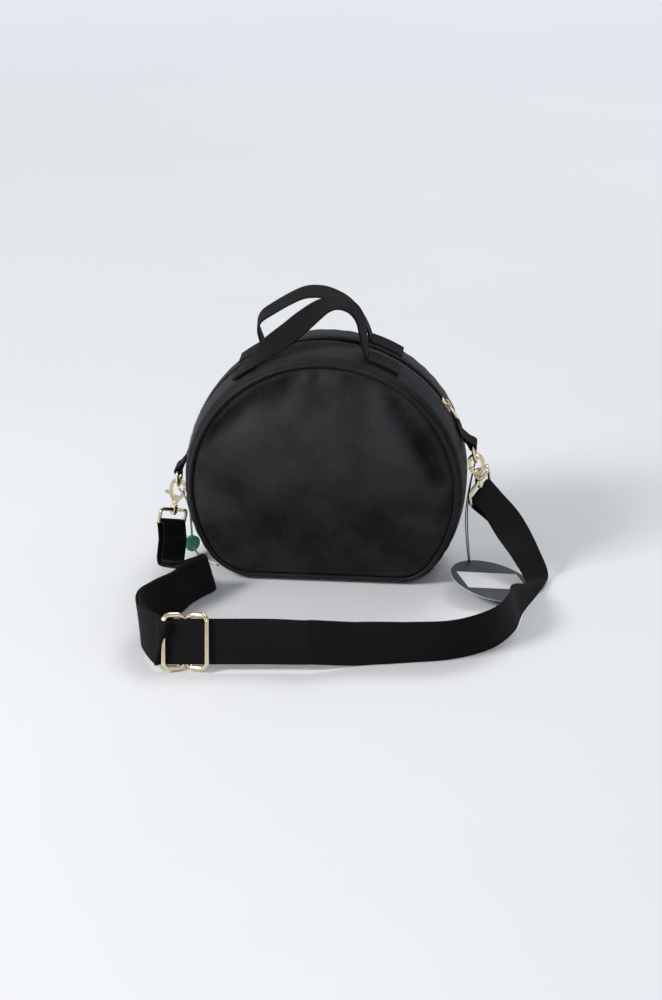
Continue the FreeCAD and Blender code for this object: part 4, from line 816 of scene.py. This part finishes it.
for way, name, seam in ((-1, "left", LEFT_SEAM), (1, "right", RIGHT_SEAM)):
    bar = vec(*joints[name + "_d_ring_swing"]["pos_m"]) / MM
    low = CROWN_TOP + 0.4 + TAB_GAP + TAB_PLY / 2
    sewn = [ring_place(low, seam - way * TAB_STRIPS[name] * a, 0) for a in (1, 0.75, 0.5, 0.25)]
    root = ring_place(low + 1.4, seam + way * 0.2, 0)
    run = unit(bar - root)
    side = np.cross(run, vec(0, 1, 0))
    if side[2] < 0:
        side = -side
    bend = TAB_BAR + TAB_SLACK + TAB_PLY / 2
    out_ply = tab_ply(root, bar, side, bend, (0.2, 0.5, 0.8))
    turn_ply = []
    for k in range(9):
        turn = math.pi * k / 8
        turn_ply.append(bar + side * bend * math.cos(turn) + run * bend * math.sin(turn))
    in_ply = tab_ply(root, bar, -side, bend, (0.8, 0.5, 0.2, -0.1))
    path = smooth_run(sewn + out_ply + turn_ply + in_ply, 5)
    piece = ribbon(name + "_tab_band", path, [vec(0, -1, 0)] * len(path), TAB_WIDTH, TAB_PLY)
    finish_piece(piece, BAG, "webbing", name + "_tab")

# Shoulder strap: folded round both strap rings, lying on the table in between
SPREAD = 200.0
REACH = 220.0
EYE_LEG = 14.3
EYE_BAR = 1.7
EYE_SLACK = 0.4
PLY_MIDDLE = EYE_BAR + EYE_SLACK + STRAP_PLY / 2
PLY_SPACING = STRAP_PLY + 1.0
GROUND = 0.1
SECOND_PLY_SHARE = 0.867
FOLD_SHARE = 0.5
FOLD_TWIST = 0.75
SLIDER_HALF = 22.0
SLIDER_WIRE = 2.1
GLIDE_LIFT = SLIDER_HALF + SLIDER_WIRE - STRAP_WIDTH / 2
DROP_BOW = 3.6
leave_hints = {"right": vec(0.62, -0.2, -0.75), "left": vec(0, -0.7, -0.71)}
eyes = {}
for name, hint in leave_hints.items():
    sway = joints[name + "_strap_ring_sway"]
    bar = vec(*sway["pos_m"]) / MM
    bar_way = unit(vec(*sway["axis"]))
    leave = unit(hint - bar_way * (hint @ bar_way))
    eyes[name] = (bar, bar_way, leave, np.cross(bar_way, leave))

landing = vec(0.962 * SPREAD, -0.19 * REACH, 0)
landing_up = unit(vec(-0.51, -0.83, 0.22))
bow_way = unit(vec(0.811, 0.288, 0.509))
drops = [(0.3, 0.77, vec(-0.548, -0.806, -0.219)), (0.654, 1.0, vec(-0.618, -0.784, 0.078))]
bends = [(0.905, -0.42, 9), (0.865, -0.60, 3), (0.77, -0.755, 0), (0.61, -0.855, -4), (0.42, -0.90, 0),
         (0.22, -0.945, 10)]
run_start = vec(0.05 * SPREAD, -0.995 * REACH, 0)
run_end = vec(-0.63 * SPREAD, -1.048 * REACH, 0)
run_shares = [0, 0.08, 0.3, 0.6, SECOND_PLY_SHARE, 0.945, 0.975]
run_leans = [13, 12, 21, 21, 21, 21, 21]
curls = [(-0.67, -0.955, 8), (-0.705, -0.85, -4), (-0.70, -0.73, -12), (-0.655, -0.63, -14),
         (-0.60, -0.545, -10), (-0.565, -0.45, -5), (-0.52, -0.375, 0), (-0.497, -0.345, 1),
         (-0.482, -0.318, 0), (-0.492, -0.292, 0), (-0.52, -0.29, 0)]
CURL_FIRST = len(bends) + len(run_shares)
slumps = {0: vec(-0.3, -0.42, 0.86), 1: vec(-0.16, -0.12, 0.98)}
for number, slump in ((6, (-0.1, -0.1, 1)), (7, (-0.17, -0.2, 0.95)), (8, (-0.17, -0.26, 0.95)),
                      (9, (-0.16, -0.32, 0.93)), (10, (-0.2, -0.42, 0.88))):
    slumps[CURL_FIRST + number] = vec(*slump)
table = [(vec(a * SPREAD, b * REACH, 0), 0, lean) for a, b, lean in bends]
for share, lean in zip(run_shares, run_leans):
    table.append((run_start + (run_end - run_start) * share, GLIDE_LIFT, lean))
for number, (a, b, lean) in enumerate(curls):
    table.append((vec(a * SPREAD, b * REACH, 0), GLIDE_LIFT * max(0, 1 - number / 3), lean))


def edge_level(up):
    """Height of the webbing's middle where its lower edge rests on the table."""
    return abs(up[2]) * STRAP_WIDTH / 2 + STRAP_PLY + GROUND


bar, bar_way, leave, across = eyes["right"]
right_start = bar + leave * EYE_LEG - across * PLY_MIDDLE
stations = [(right_start, -bar_way)]
landing[2] = edge_level(landing_up)
for share, bulge, up in drops:
    stations.append((right_start + (landing - right_start) * share + bow_way * DROP_BOW * bulge, unit(up)))
stations.append((landing, landing_up))
spots = [place for place, lift, lean in table]
for number, (place, lift, lean) in enumerate(table):
    way = unit(heading(spots, number))
    inward = vec(way[1], -way[0], 0)
    tilt = math.radians(lean)
    up = vec(0, 0, 1) * math.cos(tilt) + inward * math.sin(tilt)
    up = unit(slumps.get(number, up))
    below = max((STRAP_PLY / 2 + PLY_SPACING) * math.sin(tilt), -STRAP_PLY / 2 * math.sin(tilt))
    rest = lift * math.cos(tilt) + below + GROUND
    stations.append((place + vec(0, 0, rest) + up * STRAP_WIDTH / 2, up))
bar, bar_way, leave, across = eyes["left"]
left_end = bar + leave * EYE_LEG + across * PLY_MIDDLE
left_up = -bar_way
fold_end, fold_up = stations[-1]
drop_end = left_end + leave * ((edge_level(left_up) - left_end[2]) / leave[2]) + vec(-1, -9, 0)
up = unit(fold_up * (1 - FOLD_TWIST) + left_up * FOLD_TWIST)
place = fold_end + (drop_end - fold_end) * FOLD_SHARE
place[2] = edge_level(up)
stations += [(place, up), (drop_end, left_up), (left_end, left_up)]
RUN_FIRST = 2 + len(drops) + len(bends)

STRAP_STEPS = 9
both = smooth_run([np.concatenate([p, u]) for p, u in stations], STRAP_STEPS)
frames = []
for i, row in enumerate(both):
    place, up = row[:3].copy(), unit(row[3:])
    way = heading(both[:, :3], i)
    if i == 0:
        way = eyes["right"][2]
    if i == len(both) - 1:
        way = -eyes["left"][2]
    way = unit(way - up * (way @ up))
    face = np.cross(way, up)
    below = max(face[2] * STRAP_PLY / 2, -face[2] * (STRAP_PLY / 2 + PLY_SPACING))
    place[2] += max(0, abs(up[2]) * STRAP_WIDTH / 2 + below + GROUND - place[2])
    frames.append((place, up, way, face))


def ring_fold(name, leg_first, leg_last):
    """Places round a strap ring's bar, from one ply to the other; legs are (away, aside) pairs."""
    bar, bar_way, leave, across = eyes[name]
    places = [bar + leave * s + across * o for s, o in leg_first]
    for k in range(1, 12):
        turn = math.pi * k / 12
        places.append(bar + PLY_MIDDLE * (across * math.cos(turn) - leave * math.sin(turn)))
    places += [bar + leave * s + across * o for s, o in leg_last]
    return places


near = PLY_MIDDLE - 1.75
tucked = [(34, -near), (27, -near), (21, -near + 0.1), (15, 0.2), (9, 1.7), (4, 2.6), (0, PLY_MIDDLE)]
right_fold = ring_fold("right", tucked, [(0, -PLY_MIDDLE), (5, -PLY_MIDDLE), (10, -PLY_MIDDLE)])
left_fold = ring_fold("left", [(10, PLY_MIDDLE), (5, PLY_MIDDLE), (0, PLY_MIDDLE)],
                      [(s, -PLY_MIDDLE) for s in (0, 5, 10, EYE_LEG)])
places = right_fold + [f[0] for f in frames] + left_fold
right_ups = [-eyes["right"][1]] * len(right_fold)
left_ups = [-eyes["left"][1]] * len(left_fold)
ups = right_ups + [f[1] for f in frames] + left_ups
strap = ribbon("shoulder_strap_band", places, ups, STRAP_WIDTH, STRAP_PLY)
finish_piece(strap, BAG, "webbing", "shoulder_strap", "right_strap_eye", "left_strap_eye")

# Second ply from the slider back to the left ring
ply_first = (RUN_FIRST + run_shares.index(SECOND_PLY_SHARE)) * STRAP_STEPS
chosen = frames[ply_first:]
places, ups = [], []
tail_count = 3 * STRAP_STEPS
for i, (place, up, way, face) in enumerate(chosen):
    tail = step(len(chosen) - 1 - tail_count, len(chosen) - 1, i)
    gap = PLY_SPACING + (2 * PLY_MIDDLE - PLY_SPACING) * tail
    places.append(place + face * gap)
    ups.append(up)
near_count = STRAP_STEPS * 2 + 1
near_rows = slice(None, near_count)
far_rows = slice(near_count - 1, None)
second = ribbon("strap_second_near_band", places[near_rows], ups[near_rows], STRAP_WIDTH, STRAP_PLY)
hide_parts("strap_second_ply")
far_band = ribbon("strap_second_far_band", places[far_rows], ups[far_rows], STRAP_WIDTH, STRAP_PLY)
finish_piece(far_band, BAG, "webbing", "strap_second_ply")
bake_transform(second)


# Rigid pieces: rounded edges and their finishes
def dress(node, material, bevel):
    """Finish of a solid, with its edges rounded by bevel millimetres."""
    piece = frame["nodes"][node]
    piece.data.materials.clear()
    piece.data.materials.append(material)
    piece.data.polygons.foreach_set("material_index", [0] * len(piece.data.polygons))
    weld = piece.modifiers.new("weld", "WELD")
    weld.merge_threshold = 0.00001
    if bevel:
        rounding = piece.modifiers.new("round", "BEVEL")
        rounding.width = bevel * MM
        rounding.segments = 3
        rounding.limit_method = "ANGLE"
        rounding.angle_limit = math.radians(40)
    return piece


HOOK_BEVELS = {"d_ring": 0, "hook_body": 0.5, "hook_gate": 0.4, "gate_pin": 0.15, "strap_ring": 0}
for side in ("left", "right"):
    for part, bevel in HOOK_BEVELS.items():
        dress("%s_%s" % (side, part), gilt, bevel)
dress("strap_slider", gilt, 0)
dress("zip_slider", gilt, 0.25)
dress("zip_pull", gilt, 0.25)
dress("zip_stops", gilt, 0.2)
dress("zip_teeth_front", nylon, 0.2)
dress("zip_teeth_back", nylon, 0.2)
dress("base_board", board, 0.3)

# Swing tag: card with a pale core, and a plain sticker
card = matte("navy_card", (0.012, 0.018, 0.026), (0.02, 0.028, 0.038), 0.42, 1600.0)
core = matte("card_core", (0.5, 0.52, 0.54), (0.66, 0.67, 0.68), 0.7, 1600.0)
paper = matte("sticker_paper", (0.72, 0.72, 0.73), (0.8, 0.8, 0.81), 0.4, 1200.0)
tag = dress("swing_tag", card, 0.12)
tag.data.materials.append(core)
card_way = max((p.normal.copy() for p in tag.data.polygons if p.area > 1e-5), key=lambda n: n.z)
for face in tag.data.polygons:
    if abs(face.normal.dot(card_way)) < 0.5:
        face.material_index = 1
sticker = dress("tag_sticker", paper, 0.05)

# Seal disc
seal = matte("green_seal", (0.11, 0.72, 0.43), (0.18, 0.82, 0.54), 0.3, 600.0, Coat_Weight=0.3)
dress("seal_disc", seal, 0.9)


# Cords
def cord_line(points):
    """The smooth line of a route as points, from a spline with no thickness."""
    curve = bpy.data.curves.new("route", "CURVE")
    curve.dimensions = "3D"
    spline = curve.splines.new("NURBS")
    spline.points.add(len(points) - 1)
    for point, place in zip(spline.points, points):
        point.co = (*(np.array(place) * MM), 1)
    spline.order_u = 3
    spline.use_endpoint_u = True
    spline.resolution_u = 10
    route = bpy.data.objects.new("route", curve)
    scene.collection.objects.link(route)
    bpy.context.view_layer.update()
    mesh = bpy.data.meshes.new_from_object(route.evaluated_get(bpy.context.evaluated_depsgraph_get()))
    line = np.array([v.co for v in mesh.vertices]) / MM
    bpy.data.objects.remove(route)
    bpy.data.curves.remove(curve)
    bpy.data.meshes.remove(mesh)
    return line


CORD_SIDES = 12


def cord_tube(name, line, radius, material, twist):
    """Round cord along a line, lightly laid like twisted yarn."""
    fine = smooth_run(line, 3)
    run = lengths(fine)
    side = unit(np.cross(fine[1] - fine[0], vec(0.3, 1, 0.2)))
    rings = []
    for i in range(len(fine)):
        way = unit(heading(fine, i))
        side = unit(side - way * (side @ way))
        other = np.cross(way, side)
        ring = []
        for k in range(CORD_SIDES):
            turn = FULL * k / CORD_SIDES
            fat = radius * (1 + 0.08 * math.cos(3 * turn + twist * run[i]))
            spot = fine[i] + (side * math.cos(turn) + other * math.sin(turn)) * fat
            ring.append((spot, (radius * turn, run[i])))
        rings.append(ring)
    return swept(name, rings, material)


string_black = matte("string_black", (0.006, 0.006, 0.006), (0.012, 0.012, 0.012), 0.7, 3000.0)
cord_white = matte("cord_white", (0.74, 0.72, 0.66), (0.86, 0.84, 0.78), 0.7, 2200.0)

# The black string is doubled: its two strands part towards the tag
STRANDS = {
    "left": [(134.08, 8.75, 104.90), (127.18, 8.75, 71.90), (125.2, -8.08, 43.0), (130.5, -24.6, 14.5)],
    "right": [(134.08, 8.75, 103.9), (127.9, 8.2, 71.90), (127.4, -8.3, 43.0), (131.5, -25.0, 14.2)],
}
for name, points in STRANDS.items():
    strand = cord_line(points)
    piece = cord_tube("tag_string_%s_strand" % name, strand, 0.5, string_black, 1.6)
    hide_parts("tag_string")
    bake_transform(piece)

SEAL_CORD = [(-135.0, -8.87, 71.78), (-125.8, -8.87, 61.78), (-125.0, 0.63, 28), (-125.0, 0.63, 0.9),
             (-99.4, -18.57, 0.9)]
line = cord_line(SEAL_CORD)
piece = cord_tube("seal_cord_strand", line, 0.95, cord_white, 1.2)
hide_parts("seal_cord")
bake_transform(piece)

# Floor, light and camera
floor_material, floor_shader = new_material("pale_floor", (0.80, 0.81, 0.82), 0.6,
                                            Emission_Color=(0.9, 0.95, 1.0, 1))
floor_graph = Graph(floor_material)
floor_grain = floor_graph.noise(floor_graph.object_place(), 3.0, 3.0)
floor_tone = floor_graph.ramp(floor_grain, [(0.3, (0.80, 0.81, 0.825)), (0.7, (0.82, 0.83, 0.845))])
seen = floor_graph.seen()
floor_graph.link(floor_graph.mix(seen, (0.28, 0.285, 0.3), floor_tone), floor_shader.inputs["Base Color"])
away = floor_graph.add("ShaderNodeVectorMath", operation="LENGTH")
floor_graph.link(floor_graph.object_place(), away.inputs[0])
far = floor_graph.add("ShaderNodeMapRange", {"From Min": 0.5, "From Max": 4.0, "To Max": 0.5},
                      interpolation_type="SMOOTHSTEP")
floor_graph.link(away.outputs["Value"], far.inputs["Value"])
glow = floor_graph.math("MULTIPLY", far.outputs["Result"], seen)
floor_graph.link(glow, floor_shader.inputs["Emission Strength"])
FLOOR_REACH = 60000.0
FLOOR_DROP = -0.4
floor_sides = ((-1, -1), (1, -1), (1, 1), (-1, 1))
floor_corners = [(a * FLOOR_REACH, b * FLOOR_REACH, FLOOR_DROP) for a, b in floor_sides]
floor = make("floor", floor_corners, [(0, 1, 2, 3)], floor_material)

world = bpy.data.worlds.new("studio")
scene.world = world
world.use_nodes = True
sky = world.node_tree.nodes["Background"]
sky.inputs["Strength"].default_value = 0.5
sky_graph = Graph(world)
sky_parts = sky_graph.add("ShaderNodeSeparateXYZ")
sky_graph.link(sky_graph.add("ShaderNodeTexCoord").outputs["Generated"], sky_parts.inputs["Vector"])
SKY_GREY = (0.34, 0.35, 0.38)
SKY_SHADE = (0.3, 0.32, 0.36)
SKY_BLUE = (0.75, 0.8, 0.9)
SKY_TOP = (0.95, 0.97, 1.0)
HORIZON = (1.5, 1.57, 1.66)
sky_stops = [(0.0, SKY_GREY), (0.3, SKY_SHADE), (0.65, SKY_BLUE), (1.0, SKY_TOP)]
haze_stops = [(0.0, HORIZON), (0.12, HORIZON), (0.4, SKY_BLUE), (1.0, SKY_TOP)]
sky_light = sky_graph.ramp(sky_parts.outputs["Z"], sky_stops)
sky_haze = sky_graph.ramp(sky_parts.outputs["Z"], haze_stops)
sky_graph.link(sky_graph.mix(sky_graph.seen(), sky_light, sky_haze), sky.inputs["Color"])


def lamp(name, place, target, size_x, size_y, power, colour):
    light = bpy.data.lights.new(name, "AREA")
    light.shape = "RECTANGLE"
    light.size = size_x
    light.size_y = size_y
    light.energy = power
    light.color = colour
    item = bpy.data.objects.new(name, light)
    scene.collection.objects.link(item)
    item.location = place
    item.rotation_mode = "QUATERNION"
    item.rotation_quaternion = (Vector(target) - Vector(place)).to_track_quat("-Z", "Y")


lamp("key", (-1.9, -1.35, 1.75), (0, -0.05, 0.12), 0.8, 0.8, 56, (1.0, 0.985, 0.96))
lamp("top", (0.5, 1.4, 2.2), (0, 0, 0.1), 1.4, 1.0, 22, (1.0, 1.0, 1.0))
lamp("fill", (0.5, -2.6, 1.5), (0, 0, 0.1), 1.2, 0.8, 9, (0.95, 0.97, 1.0))

AZIMUTH = math.radians(5)
ELEVATION = math.radians(23)
EYE_PLACE = (0.1654, -1.8502, 0.8495)
LENS = 79.92
level = math.cos(ELEVATION)
back = Vector((math.sin(AZIMUTH) * level, -math.cos(AZIMUTH) * level, math.sin(ELEVATION)))
camera = bpy.data.cameras.new("camera")
camera.sensor_width = 36.0
camera.lens = LENS
camera.clip_end = 150.0
eye = bpy.data.objects.new("camera", camera)
scene.collection.objects.link(eye)
eye.location = EYE_PLACE
eye.rotation_mode = "QUATERNION"
eye.rotation_quaternion = (-back).to_track_quat("-Z", "Y")
scene.camera = eye
scene.view_settings.view_transform = "Standard"
